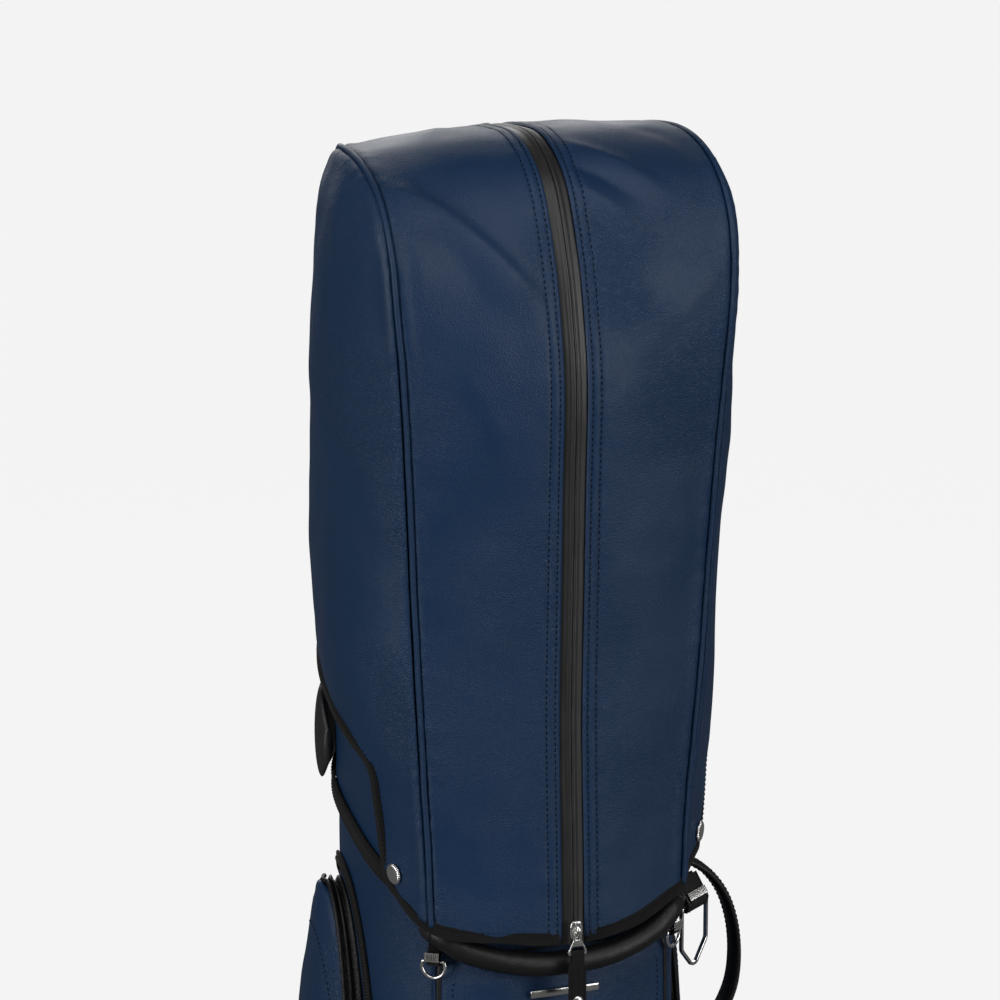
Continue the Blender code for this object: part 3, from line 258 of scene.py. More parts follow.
def leather(name, colour, roughness, grain=1.0):
    """Pebbled leather: rounded cells with fine creases between them, and soft uneven gloss."""
    made = Recipe(name, colour, roughness)
    made.set("Specular IOR Level", 0.34)
    warped = made.node("ShaderNodeMix", {"Factor": 0.0018}, data_type="VECTOR")
    made.tree.links.new(made.place(), warped.inputs[4])
    jitter = made.node("ShaderNodeTexNoise", {"Vector": made.place(), "Scale": 260.0, "Detail": 2.0})
    made.tree.links.new(jitter.outputs["Color"], warped.inputs[5])
    cells = made.node("ShaderNodeTexVoronoi", {"Vector": warped.outputs[1], "Scale": 640.0},
                      feature="DISTANCE_TO_EDGE").outputs["Distance"]
    pebble = made.range(cells, 0.0, 0.30, 0.0, 1.0)
    patches = made.noise(11.0, 2.0)
    depth = made.range(patches, 0.42, 0.62, 0.35, 1.0)
    made.bump(made.noise(55.0, 4.0), 0.0009, 0.35)
    made.bump(made.maths("MULTIPLY", pebble, depth), 0.00030 * grain, 0.9)
    made.bump(made.noise(1500.0, 3.0), 0.00008 * grain, 0.5)
    made.tint(made.maths("MULTIPLY", made.noise(9.0, 4.0), made.range(pebble, 0, 1, 0.75, 1.0)), 0.16)
    made.rough(made.maths("MULTIPLY", patches, made.range(pebble, 0, 1, 1.0, 0.80)),
               roughness - 0.07, roughness + 0.13)
    return made.made


def webbing(name, colour, pitch=0.0011):
    """Woven black tape: crossed ribs with loose fibres."""
    made = Recipe(name, colour, 0.92)
    made.set("Specular IOR Level", 0.22)
    made.set("Sheen Weight", 0.05)
    made.set("Sheen Roughness", 0.6)
    across = made.wave(1 / pitch / BAND_SPAN, "X")
    along = made.wave(1 / pitch / BAND_SPAN * 0.7, "Y")
    weave = made.maths("MAXIMUM", across, along)
    made.bump(weave, 0.00022, 0.8)
    made.bump(made.noise(1900.0, 3.0), 0.00008, 0.6)
    made.tint(made.maths("MULTIPLY", weave, made.noise(180.0, 3.0)), 0.45)
    return made.made


def coated_tape(name, colour):
    """Rubber-coated zipper tape: satin, with fine ribs over the teeth."""
    made = Recipe(name, colour, 0.42)
    made.set("Specular IOR Level", 0.5)
    ribs = made.wave(1 / 0.0011 / BAND_SPAN, "Y", distortion=0.3)
    broad = made.noise(40.0, 3.0)
    made.bump(ribs, 0.00010, 0.35)
    made.bump(made.noise(900.0, 3.0), 0.00005, 0.5)
    made.tint(broad, 0.18)
    made.rough(broad, 0.36, 0.52)
    return made.made


def metal(name, colour, roughness):
    """Polished plating with faint scratches and smears."""
    made = Recipe(name, colour, roughness, 1.0)
    smears = made.noise(120.0, 4.0)
    made.bump(made.noise(700.0, 4.0, stretch=(1, 1, 0.15)), 0.00002, 0.5)
    made.tint(smears, 0.05)
    made.rough(smears, roughness - 0.05, roughness + 0.12)
    return made.made


def moulded(name, colour, roughness, grain=0.00006):
    """Moulded plastic or rubber with a fine spark-eroded grain."""
    made = Recipe(name, colour, roughness)
    made.bump(made.noise(1500.0, 3.0), grain, 0.7)
    made.bump(made.noise(60.0, 3.0), 0.0004, 0.3)
    made.tint(made.noise(30.0, 3.0), 0.15)
    made.rough(made.noise(45.0, 4.0), roughness - 0.08, roughness + 0.08)
    return made.made


def thread(name, colour):
    made = Recipe(name, colour, 0.9)
    made.set("Specular IOR Level", 0.15)
    made.bump(made.wave(900.0, "DIAGONAL", space="Object"), 0.00008, 0.8)
    made.tint(made.noise(300.0, 2.0), 0.25)
    return made.made


FINISH = {
    "navy_leather": leather("navy_leather", (0.0048, 0.0262, 0.0740), 0.47),
    "black_leather": leather("black_leather", (0.0090, 0.0090, 0.0098), 0.44, 0.7),
    "black_webbing": webbing("black_webbing", (0.0042, 0.0042, 0.0048)),
    "zip_tape": coated_tape("zip_tape", (0.0150, 0.0146, 0.0143)),
    "zip_chain": moulded("zip_chain", (0.010, 0.010, 0.011), 0.4),
    "silver_metal": metal("silver_metal", (0.80, 0.79, 0.77), 0.16),
    "moulded_black": moulded("moulded_black", (0.0125, 0.0125, 0.0132), 0.5),
    "soft_grip": leather("soft_grip", (0.0080, 0.0080, 0.0086), 0.40, 0.35),
    "rubber": moulded("rubber", (0.012, 0.012, 0.012), 0.75, 0.00015),
    "lining": webbing("lining", (0.020, 0.021, 0.024), 0.0009),
    "navy_thread": thread("navy_thread", (0.0008, 0.0028, 0.0100)),
    "black_thread": thread("black_thread", (0.0060, 0.0060, 0.0065)),
}

# ---- Mesh helpers -------------------------------------------------------------------------------


def unit(v):
    v = np.asarray(v, float)
    return v / np.maximum(np.linalg.norm(v, axis=-1, keepdims=True), 1e-12)


def smooth_step(x, low, high):
    t = np.clip((x - low) / (high - low), 0, 1)
    return t * t * (3 - 2 * t)


def bell(x, width):
    return np.exp(-(x / width) ** 2)


def ripple(points, wavelength, seed, count=9):
    """Smooth uneven relief from -1 to 1 over points, with about the given wavelength."""
    rng = np.random.default_rng(seed)
    directions = unit(rng.normal(size=(count, points.shape[-1])))
    lengths = wavelength * rng.uniform(0.75, 1.6, count)
    phases = rng.uniform(0, 2 * math.pi, count)
    angles = points @ (directions / lengths[:, None]).T * 2 * math.pi + phases
    return np.sin(angles).mean(-1) * 2


def spline(rows, t):
    """Smooth curve through rows of numbers, at positions t counted in rows."""
    t = np.asarray(t, float)
    i = np.clip(np.floor(t).astype(int), 0, len(rows) - 2)
    f = (t - i)[..., None]
    padded = np.vstack([2 * rows[0] - rows[1], rows, 2 * rows[-1] - rows[-2]])
    a, b, c, d = (padded[i + k] for k in range(4))
    square, cube = 2 * a - 5 * b + 4 * c - d, 3 * b - a - 3 * c + d
    return 0.5 * (2 * b + (c - a) * f + square * f ** 2 + cube * f ** 3)


def resample(points, spacing, smooth=True, closed=False):
    """Evenly spaced points along a curve through the given ones."""
    points = np.asarray(points, float)
    if closed:
        points = np.vstack([points, points[:1]])
    if smooth:
        points = spline(points, np.linspace(0, len(points) - 1, (len(points) - 1) * 12 + 1))
    run = run_lengths(points, 0)
    count = max(int(round(run[-1] / spacing)), 2)
    out = pick(np.linspace(0, run[-1], count + 1), run, points)
    return out[:-1] if closed else out


def add_piece(name, data, finish, body, stands_for=(), sharp=None):
    data.materials.append(FINISH[finish])
    data.shade_smooth()
    if sharp is not None:
        data.set_sharp_from_angle(angle=math.radians(sharp))
    obj = bpy.data.objects.new(name, data)
    bpy.context.scene.collection.objects.link(obj)
    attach(obj, body)
    if stands_for:
        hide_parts(*stands_for)
    return obj


def mesh_from(name, points, faces, uv):
    data = bpy.data.meshes.new(name)
    data.from_pydata(points.tolist(), [], faces)
    layer = data.uv_layers.new(name="run")
    index = np.zeros(len(data.loops), int)
    data.loops.foreach_get("vertex_index", index)
    layer.data.foreach_set("uv", uv[index].astype(np.float32).ravel())
    return data


def solid_mesh(name, points, faces, uv):
    """Mesh of a closed solid, with its faces turned outwards."""
    data = mesh_from(name, points, faces, uv)
    bm = bmesh.new()
    bm.from_mesh(data)
    bmesh.ops.recalc_face_normals(bm, faces=bm.faces)
    bm.to_mesh(data)
    bm.free()
    return data


def tube_faces(count, sides, closed):
    """Quads between rings of points, with an end cap at each end of an open tube."""
    index = np.arange(count * sides).reshape(count, sides)
    beside = np.roll(index, -1, axis=1)
    if closed:
        quads = (index, beside, np.roll(beside, -1, axis=0), np.roll(index, -1, axis=0))
    else:
        quads = (index[:-1], beside[:-1], beside[1:], index[1:])
    faces = np.stack(quads, -1).reshape(-1, 4).tolist()
    if not closed:
        faces += [index[0][::-1].tolist(), index[-1].tolist()]
    return faces


def run_lengths(points, axis):
    step = np.linalg.norm(np.diff(points, axis=axis), axis=-1)
    zero = np.zeros_like(np.take(step, [0], axis=axis))
    return np.concatenate([zero, np.cumsum(step, axis=axis)], axis=axis)


def grid_uv(points):
    return np.stack([run_lengths(points, 1), run_lengths(points, 0)], -1).reshape(-1, 2)


def pick(at, run, field):
    """Rows of field at the lengths at, where run is each row's own length along the path."""
    return np.stack([np.interp(at, run, column) for column in field.T], 1)


def outward_normals(points):
    """Normals of a grid of points, facing away from the bag's upright axis and up at the crown."""
    normals = unit(np.cross(np.gradient(points, axis=1), np.gradient(points, axis=0)))
    middle = np.array((0, BODY_CENTRE_Y, points[..., 2].mean() - 0.05))
    if ((points - middle) * normals).sum() < 0:
        normals = -normals
    return normals


def sheet(name, points, finish, body, stands_for=(), keep=None, thickness=SKIN):
    """A skin through a grid of points, with its thickness on the inner side."""
    rows, columns = points.shape[:2]
    index = np.arange(rows * columns).reshape(rows, columns)
    quads = np.stack([index[:-1, :-1], index[:-1, 1:], index[1:, 1:], index[1:, :-1]], -1)
    normals = np.cross(np.gradient(points, axis=1), np.gradient(points, axis=0))
    if (normals * outward_normals(points)).sum() < 0:
        quads = quads[..., ::-1]
    quads = quads[keep] if keep is not None else quads.reshape(-1, 4)
    used, faces = np.unique(quads, return_inverse=True)
    data = mesh_from(name, points.reshape(-1, 3)[used], faces.reshape(-1, 4).tolist(), grid_uv(points)[used])
    obj = add_piece(name, data, finish, body, stands_for)
    solid = obj.modifiers.new("thickness", "SOLIDIFY")
    solid.thickness = thickness
    solid.offset = -1
    solid.use_even_offset = False
    return obj


def sweep(name, centres, across, normals, section, finish, body, stands_for=(), closed=False, sharp=None):
    """A solid with the given cross-section, one or one per point, run along centres."""
    centres, section = np.asarray(centres, float), np.asarray(section, float)
    if section.ndim == 2:
        section = np.repeat(section[None], len(centres), 0)
    points = (centres[:, None] + np.asarray(across)[:, None] * section[..., :1]
              + np.asarray(normals)[:, None] * section[..., 1:])
    data = solid_mesh(name, points.reshape(-1, 3), tube_faces(*points.shape[:2], closed), grid_uv(points))
    return add_piece(name, data, finish, body, stands_for, sharp)


def tangents(points, closed=False):
    if closed:
        return unit(np.roll(points, -1, axis=0) - np.roll(points, 1, axis=0))
    return unit(np.gradient(points, axis=0))


def frames(points, up, closed=False):
    """Across and normal directions along a path, with the normal kept close to up."""
    along = tangents(points, closed)
    up = np.broadcast_to(np.asarray(up, float), along.shape)
    across = unit(np.cross(up, along))
    return across, unit(np.cross(along, across))


def faced(line, across):
    """Across and normal directions along a line whose across direction is fixed."""
    across = np.broadcast_to(np.asarray(across, float), line.shape)
    return across, unit(np.cross(tangents(line), across))


def round_section(radius, sides=14):
    a = np.arange(sides) * 2 * math.pi / sides
    return np.stack([radius * np.cos(a), radius * np.sin(a)], 1)


def soft_box(width, thickness, power=5.0, sides=28):
    """Rounded rectangle as a super-ellipse."""
    a = (np.arange(sides) + 0.5) * 2 * math.pi / sides
    c, s = np.cos(a), np.sin(a)
    r = (np.abs(c) ** power + np.abs(s) ** power) ** (-1 / power)
    return np.stack([width / 2 * r * c, thickness / 2 * r * s], 1)


def band(name, line, up, section, finish, body, stands_for=(), closed=False):
    """A strip along a line, with its face turned to up as far as the line allows."""
    across, normals = frames(line, up, closed)
    return sweep(name, line, across, normals, section, finish, body, stands_for, closed)


def cord(name, points, radius, finish, body, stands_for=(), closed=False, sides=14, up=(0.3, 0.2, 1)):
    return band(name, points, up, round_section(radius, sides), finish, body, stands_for, closed)


def stitches(name, rows, finish, body, pitch=0.0039, length=0.0024, radius=0.00036):
    """Thread stitches along rows of (points, normals): each dips into the leather at both ends."""
    points, faces = [], []
    # Share of the stitch's length, lift and size of each ring, the last two in thread radii.
    profile = ((-0.5, -0.9, 0.55), (-0.38, 0.1, 1.0), (0.0, 0.45, 1.15), (0.38, 0.1, 1.0), (0.5, -0.9, 0.55))
    sides = 6
    one = [face[:1] + face[:0:-1] for face in tube_faces(len(profile), sides, False)]
    base = 0
    for line, normals in rows:
        run = run_lengths(line, 0)
        count = int(run[-1] / pitch)
        at = (np.arange(count) + 0.5) * pitch
        centre = pick(at, run, line)
        normal = unit(pick(at, run, normals))
        along = unit(pick(at + 0.0005, run, line) - centre)
        across = unit(np.cross(normal, along))
        rings = []
        for share, lift, size in profile:
            middle = centre + along * length * share + normal * radius * lift
            for k in range(sides):
                a = 2 * math.pi * k / sides
                rings.append(middle + (across * math.cos(a) + normal * math.sin(a)) * radius * size)
        points.append(np.stack(rings, 1).reshape(-1, 3))
        for _ in range(count):
            faces += [[base + k for k in face] for face in one]
            base += sides * len(profile)
    points = np.concatenate(points)
    data = mesh_from(name, points, faces, points[:, :2])
    return add_piece(name, data, finish, body)


def place_at(point, normal):
    """Frame at a point with local Z along the normal and local Y as near up as it goes."""
    z = Vector(normal).normalized()
    x = Vector((0, 0, 1)).cross(z).normalized()
    y = z.cross(x)
    return Matrix((
        (x.x, y.x, z.x, point[0]), (x.y, y.y, z.y, point[1]), (x.z, y.z, z.z, point[2]), (0, 0, 0, 1)))


def turned(name, profile, place, finish, body, stands_for=(), segments=48, notch=None):
    """A turned piece from (radius, height) pairs; notch changes the radius by angle and pair."""
    rings = []
    for i, (r, h) in enumerate(profile):
        a = np.arange(segments) * 2 * math.pi / segments
        radius = np.full(segments, max(r, 1e-5))
        if notch is not None:
            radius = radius * (1 + notch(i, a))
        rings.append(np.stack([radius * np.cos(a), radius * np.sin(a), np.full(segments, h)], 1))
    points = np.stack(rings)
    world = np.array(place)
    points = points @ world[:3, :3].T + world[:3, 3]
    flat = points.reshape(-1, 3)
    data = solid_mesh(name, flat, tube_faces(len(profile), segments, False), flat[:, :2])
    return add_piece(name, data, finish, body, stands_for, sharp=38)


def polish(node, bevel):
    """Round the edges of a frame piece whose shape is already right."""
    obj = frame["nodes"][node]
    merge = obj.modifiers.new("weld", "WELD")
    merge.merge_threshold = 0.00001
    edge = obj.modifiers.new("edge", "BEVEL")
    edge.width = bevel
    edge.segments = 3
    edge.limit_method = "ANGLE"
    edge.angle_limit = math.radians(25)


# ---- Hood surfaces ------------------------------------------------------------------------------


def seam(t):
    return spline(HOOD_PROFILE, t)[..., :3]


def mirror(points, side):
    return points * np.array((side, 1, 1))


def strip(x, t):
    """Points on the front, crown or back strip, x metres from its middle line."""
    row = spline(HOOD_PROFILE, t)
    sx, sy, sz, cy, cz = (row[..., k] for k in range(5))
    share = x / sx
    rise = 1 - share * share
    return np.stack(np.broadcast_arrays(x, sy + rise * (cy - sy), sz + rise * (cz - sz)), -1)


def swell(r):
    return np.sin(math.pi * np.clip(r, 0, 1)) ** 0.65


SEAM_HEIGHTS = np.linspace(0, 4, 400)
SEAM_Z = seam(SEAM_HEIGHTS)[:, 2]


def seam_at_height(z):
    return np.interp(z, SEAM_Z, SEAM_HEIGHTS)


SIDE_DEPTH = float(seam(BACK_HEM)[1] - seam(1)[1])
FLAP_R = float((FLAP_EDGE_Y - seam(1)[1]) / SIDE_DEPTH)
FLAP_CORNER_SHARE = float((FLAP_EDGE_Y - FLAP_CORNER_R - seam(1)[1]) / SIDE_DEPTH)
PATCH_Z = CUT_Z + BINDING_ROOM
PATCH_START = float(seam_at_height(PATCH_Z))


def cut_edge_z(r):
    """Height of the hem along the side cut-out, r from the front seam to the back seam."""
    share = np.clip(r - FLAP_R, 0, 1) / (1 - FLAP_R)
    return CUT_Z + CUT_RISE * (1 - (1 - share) ** 1.8)


def low_side(r, z):
    """Points on the side of the hood near the hem, at given heights."""
    r, z = np.broadcast_arrays(np.asarray(r, float), np.asarray(z, float))
    front, back = seam(seam_at_height(z)), seam(BACK_HEM)
    point = front + (back - front) * r[..., None]
    depth = FLAP_BULGE * (1 - 0.30 * np.clip((PATCH_Z - z) / 0.09, 0, 1))
    return np.stack([point[..., 0] + depth * swell(r), point[..., 1], z], -1)


def side_point(r, v):
    """Points on a side panel: r runs front to back, v from above the cut-out to the top seam."""
    r, v = np.broadcast_arrays(np.asarray(r, float), np.asarray(v, float))
    mix = lambda a, b, s: a + (b - a) * s[..., None]
    start, room = seam(PATCH_START), np.array((0, 0, BINDING_ROOM))
    back_low = seam(BACK_HEM) + room
    front = seam(PATCH_START + (FRONT_CORNER - PATCH_START) * v)
    back = seam(BACK_HEM + (BACK_CORNER - BACK_HEM) * v) + room * (1 - v)[..., None]
    top = seam(FRONT_CORNER + (BACK_CORNER - FRONT_CORNER) * r)
    low = mix(start, back_low, r)
    straight_low = low.copy()
    low[..., 2] = cut_edge_z(r) + BINDING_ROOM
    corners = mix(straight_low, mix(seam(FRONT_CORNER), seam(BACK_CORNER), r), v)
    point = mix(front, back, r) + mix(low, top, v) - corners
    depth = (SIDE_BULGE - BULGE_TAPER * v) * (1 - v ** 8) ** 0.8
    depth = depth * (1 - (1 - FLAP_BULGE / SIDE_BULGE) * (1 - v) ** 8)
    point[..., 0] += depth * swell(r)
    return point


def zip_wander(t):
    """The zipper's small sideways drift below its middle."""
    return -0.0012 * bell(t - 1.9, 1.0)


# ---- Hood panels --------------------------------------------------------------------------------

# Where the panels' grid lines run beside the zipper and beside the seam, in metres from them.
ZIP_SIDE = np.array((0.0, 0.3, 0.8, 1.5, 2.2, 2.8, 3.3, 3.8, 4.6, 6.2, 7.8, 8.7, 9.2, 9.7,
                     10.6, 12.4, 15.0)) / 1000
SEAM_SIDE = np.array((12.5, 9.8, 7.6, 6.0, 4.7, 3.7, 2.9, 2.3, 1.8, 1.3, 0.7, 0.0)) / 1000
INNER_STITCH = 0.0033           # topstitch rows, from the tape's edge
OUTER_STITCH = 0.0092

# Folds on the front panels: start and end as (x, profile position), height, and the width of the
# slope below and above the fold line.
FOLDS = (
    ((-0.104, 8.25), (-0.006, 5.85), 0.0038, 0.0048, 0.0270),
    ((-0.094, 7.50), (-0.050, 6.05), -0.0014, 0.0110, 0.0130),
    ((-0.099, 8.50), (-0.098, 6.30), 0.0012, 0.0050, 0.0060),
    ((-0.070, 5.30), (-0.044, 4.20), 0.0011, 0.0100, 0.0160),
    ((-0.060, 3.60), (-0.030, 2.90), 0.0007, 0.0110, 0.0130),
    ((0.014, 8.85), (0.078, 7.55), 0.0026, 0.0065, 0.0120),
    ((0.010, 8.30), (0.056, 7.55), -0.0022, 0.0055, 0.0050),
    ((0.012, 7.95), (0.050, 7.15), 0.0021, 0.0060, 0.0070),
    ((0.014, 7.55), (0.040, 6.90), -0.0016, 0.0060, 0.0055),
    ((0.112, 6.70), (0.040, 5.40), 0.0022, 0.0110, 0.0240),
    ((0.078, 9.40), (0.108, 8.30), -0.0016, 0.0100, 0.0100),
    ((0.062, 4.20), (0.082, 3.30), 0.0008, 0.0100, 0.0120),
    ((-0.040, 10.6), (-0.070, 9.3), 0.0012, 0.0090, 0.0110),
    ((0.030, 10.4), (0.060, 9.6), 0.0010, 0.0090, 0.0110),
)
MIDDLE_RUN = np.linspace(0, BACK_HEM, 800)
MIDDLE_LENGTH = run_lengths(strip(np.zeros(800), MIDDLE_RUN), 0)


def even_rows(start, end, count):
    """Profile positions from start to end, evenly spaced along the middle line."""
    lengths = np.interp([start, end], MIDDLE_RUN, MIDDLE_LENGTH)
    return np.interp(np.linspace(*lengths, count), MIDDLE_LENGTH, MIDDLE_RUN)


def fold_relief(x, t):
    """Height of the folds over the flattened strip."""
    total = np.zeros(np.broadcast(x, t).shape)
    along = np.interp(t, MIDDLE_RUN, MIDDLE_LENGTH)
    for (x0, t0), (x1, t1), height, below, above in FOLDS:
        y0, y1 = np.interp([t0, t1], MIDDLE_RUN, MIDDLE_LENGTH)
        dx, dy = x1 - x0, y1 - y0
        size = math.hypot(dx, dy)
        share = ((x - x0) * dx + (along - y0) * dy) / size ** 2
        off = ((x - x0) * dy - (along - y0) * dx) / size
        if dy > 0:
            off = -off
        off = off + 0.0035 * np.sin(math.pi * np.clip(share, 0, 1))
        width = np.where(off < 0, below, above)
        ends = smooth_step(share, -0.12, 0.25) * (1 - smooth_step(share, 0.60, 1.15))
        total += height * ends / (1 + (off / width) ** 2) ** 1.5
    return total


def seam_relief(e, along, seed, dive=0.0024):
    """Rolled edge beside a piped seam: dives in, swells behind, and puckers a little."""
    pucker = ripple(np.stack([along, along * 0], -1), 0.011, seed) * bell(e, 0.010)
    return -dive * bell(e, 0.0022) + 0.0008 * bell(e - 0.0065, 0.0045) + 0.00030 * pucker


def front_rows(start=0.055, spacing=0.0021):
    low, high = np.interp([start, CROWN_SEAM], MIDDLE_RUN, MIDDLE_LENGTH)
    return even_rows(start, CROWN_SEAM, int((high - low) / spacing))


def front_surface(side, x, t, seam_gap):
    """Front panel with all its relief. x is from the middle, always positive; seam_gap to the seam."""
    along = np.interp(t, MIDDLE_RUN, MIDDLE_LENGTH)
    drift = zip_wander(t) * (1 - smooth_step(x, 0.012, 0.05))
    points = mirror(strip(x, t), side)
    points[..., 0] += drift
    normals = outward_normals(points)
    gap = x - ZIP_HALF
    calm = smooth_step(gap, 0.004, 0.030) * smooth_step(seam_gap, 0.0, 0.012)
    flat = np.stack([side * x, along], -1)
    relief = fold_relief(side * x, t) * smooth_step(gap, 0.000, 0.016) * smooth_step(seam_gap, -0.002, 0.010)
    relief = relief + calm * (0.0011 * ripple(flat, 0.105, 3) + 0.00028 * ripple(flat, 0.034, 4))
    relief = relief - 0.0010 * bell(gap, 0.0008) + 0.00055 * bell(gap - 0.0016, 0.0014)
    relief = relief - 0.00055 * bell(gap - INNER_STITCH, 0.0007) - 0.00055 * bell(gap - OUTER_STITCH, 0.0007)
    relief = relief + 0.00035 * bell(gap - 0.0062, 0.0030)
    pull = ripple(np.stack([along, along * 0.3], -1), 0.016, 9)
    relief = relief + 0.00022 * pull * bell(gap - 0.010, 0.007)
    relief = relief + seam_relief(seam_gap, along, 11 + side)
    return points + normals * relief[..., None], normals


LEFT_DROP = 0.0085              # how low the left front corner hangs
RIGHT_FLARE = 0.0058            # how far the right flap turns out
RIGHT_PULL = 0.0050             # how far the right front corner is drawn in
UNDER_PIPING = 0.0026           # how far a panel's edge runs on under the piping


def settle(points):
    """How the hood hangs on the bag: its left front corner low, its right flap turned out."""
    points = np.array(points, float)
    x, y, z = points[..., 0], points[..., 1], points[..., 2]
    left = smooth_step(-x, 0.035, 0.088) * smooth_step(-y, 0.020, 0.085) * (1 - smooth_step(z, 0.722, 0.790))
    low = 1 - smooth_step(z, 0.74, 0.92)
    across = smooth_step(y, -0.089, -0.056)
    rear = 1 - smooth_step(y, -0.050, 0.040)
    right = smooth_step(x, 0.020, 0.088) * low * rear
    points[..., 0] = x + right * (-RIGHT_PULL * (1 - across) + RIGHT_FLARE * across)
    points[..., 1] = y - right * across * 0.0010
    points[..., 2] = z - LEFT_DROP * left
    return points


def tuck(points, normals, column, beside, side):
    """Run a panel's edge column on under the piping."""
    inward = unit(normals[:, column] * (0, 1, 1))
    points[:, column] = points[:, beside] + np.array((side * UNDER_PIPING, 0, 0)) - inward * 0.0006


def hood_front(side, word):
    """One front panel, from the zipper tape to the seam, with its two topstitch rows."""
    t = front_rows()[:, None]
    sx = seam(t[:, 0])[:, 0][:, None]
    low, high = ZIP_HALF + ZIP_SIDE[-1], sx - SEAM_SIDE[0]
    middle = low + (high - low) * np.linspace(0, 1, 24)[None, 1:-1]
    x = np.concatenate([np.broadcast_to(ZIP_HALF + ZIP_SIDE, (len(t), len(ZIP_SIDE))), middle,
                        sx - SEAM_SIDE], axis=1)
    t = np.broadcast_to(t, x.shape)
    points, normals = front_surface(side, x, t, (sx - x) * 1.10)
    tuck(points, normals, -1, -2, side)
    points = settle(points)
    sheet(f"leather_front_{word}", points, "navy_leather", "hood", [f"hood_front_{word}"])
    rows = []
    for inset in (INNER_STITCH, OUTER_STITCH):
        column = int(np.argmin(np.abs(ZIP_SIDE - inset)))
        rows.append((points[:, column], normals[:, column]))
    stitches(f"topstitch_{word}", rows, "navy_thread", "hood")


def hood_back():
    """Back panel behind the crown seam, with the crown's piping and topstitching."""
    start = np.interp(CROWN_SEAM + 0.004, MIDDLE_RUN, MIDDLE_LENGTH)
    t = even_rows(CROWN_SEAM + 0.004, BACK_HEM - 0.05, 190)[:, None]
    sx = seam(t[:, 0])[:, 0][:, None]
    edge = SEAM_SIDE[::-1]
    inner = (sx - SEAM_SIDE[0]) * np.linspace(-1, 1, 44)[None, 1:-1]
    x = np.concatenate([-sx + edge, inner, sx - edge[::-1]], axis=1)
    t = np.broadcast_to(t, x.shape)
    along = np.interp(t, MIDDLE_RUN, MIDDLE_LENGTH)
    points = strip(x, t)
    normals = outward_normals(points)
    gap = (sx - np.abs(x)) * 1.1
    flat = np.stack([x, along], -1)
    calm = smooth_step(gap, 0.0, 0.015)
    relief = calm * (0.0015 * ripple(flat, 0.11, 21) + 0.0004 * ripple(flat, 0.035, 22))
    relief = relief + seam_relief(gap, along, 23) - 0.0012 * bell(along - start, 0.0018)
    relief = relief - 0.0004 * bell(along - start - 0.006, 0.0008)
    points = points + normals * relief[..., None]
    tuck(points, normals, 0, 1, -1)
    tuck(points, normals, -1, -2, 1)
    sheet("leather_back", points, "navy_leather", "hood", ["hood_back"])
    row = int(np.argmin(np.abs(along[:, 0] - start - 0.006)))
    stitches("crown_topstitch", [(points[row, 8:-8], normals[row, 8:-8])], "navy_thread", "hood")
    lip = resample(strip(np.linspace(-0.096, 0.096, 30), np.full(30, CROWN_SEAM)), 0.002)
    across, normal = frames(lip, (0, 0.4, 1))
    sweep("crown_piping", lip - normal * 0.0006, across, normal, round_section(0.0015, 12),
          "navy_leather", "hood")


def hood_side(side, word):
    """Side panel: a swelling patch with a flap that hangs from its front columns."""
    edge = FLAP_R - (BINDING_ROOM - UNDER_BINDING) / SIDE_DEPTH
    near = np.array((0.006, 0.010, 0.015, 0.021, 0.029, 0.040, 0.055, 0.075))
    columns = np.concatenate([near, np.linspace(0.098, edge - 0.004, 8), [edge]])
    flap_columns = len(columns) - 1
    columns = np.concatenate([columns, np.linspace(edge + 0.022, 0.925, 40), 1 - near[::-1]])
    flap_rows = 44
    near_top = np.array((0.10, 0.08, 0.062, 0.048, 0.036, 0.027, 0.020, 0.0145, 0.010, 0.006))
    patch_v = np.concatenate([np.linspace(0, 0.88, 150), 1 - near_top])
    floor = FLAP_Z + (float(seam(0)[2]) - FLAP_Z) * (1 - np.clip(columns / FLAP_CORNER_SHARE, 0, 1))
    flare = np.clip((columns - 0.10) / (edge - 0.10), 0, 1) ** 2
    floor = floor + BINDING_ROOM * 1.15 - UNDER_BINDING + 0.010 * flare
    base = side_point(columns, np.zeros(len(columns)))
    shares = np.linspace(0, 1, flap_rows, endpoint=False)[:, None]
    flap = low_side(columns[None], floor[None] + (base[None, :, 2] - floor[None]) * shares)
    skirt = np.linspace(-UNDER_BINDING, 0, 3)[:-1]
    patch = side_point(columns[None], patch_v[:, None])
    flap[:, flap_columns + 1:] = base[None, flap_columns + 1:]
    for i, drop in enumerate(skirt):
        flap[flap_rows - len(skirt) + i, flap_columns + 1:, 2] += drop
    flap[:flap_rows - len(skirt), flap_columns + 1:, 2] -= UNDER_BINDING
    points = np.concatenate([flap, patch])
    normals = outward_normals(points)
    seam_line = seam(np.linspace(0, BACK_HEM, 500))
    flat = points.reshape(-1, 3)
    gap = np.concatenate([
        np.linalg.norm(part[:, None] - seam_line[None], axis=2).min(1) for part in np.array_split(flat, 20)])
    gap = gap.reshape(points.shape[:2])
    along = points[..., 2] + points[..., 1]
    calm = smooth_step(gap, 0.0, 0.02)
    spots = points[..., 1:].copy()
    relief = calm * (0.0014 * ripple(spots, 0.12, 31 + side) + 0.0004 * ripple(spots, 0.04, 33 + side))
    top = smooth_step(points[..., 2], 1.12, 1.20)
    relief = relief + 0.0016 * top * calm * ripple(spots * (1, 0.3), 0.030, 35)
    relief = relief + seam_relief(gap, along, 37 + side, 0.0016)
    points = mirror(points + normals * relief[..., None], side)
    points = settle(points)
    keep = np.ones((points.shape[0] - 1, points.shape[1] - 1), bool)
    keep[:flap_rows - len(skirt), flap_columns:] = False
    sheet(f"leather_side_{word}", points, "navy_leather", "hood", [f"hood_side_{word}"], keep=keep)


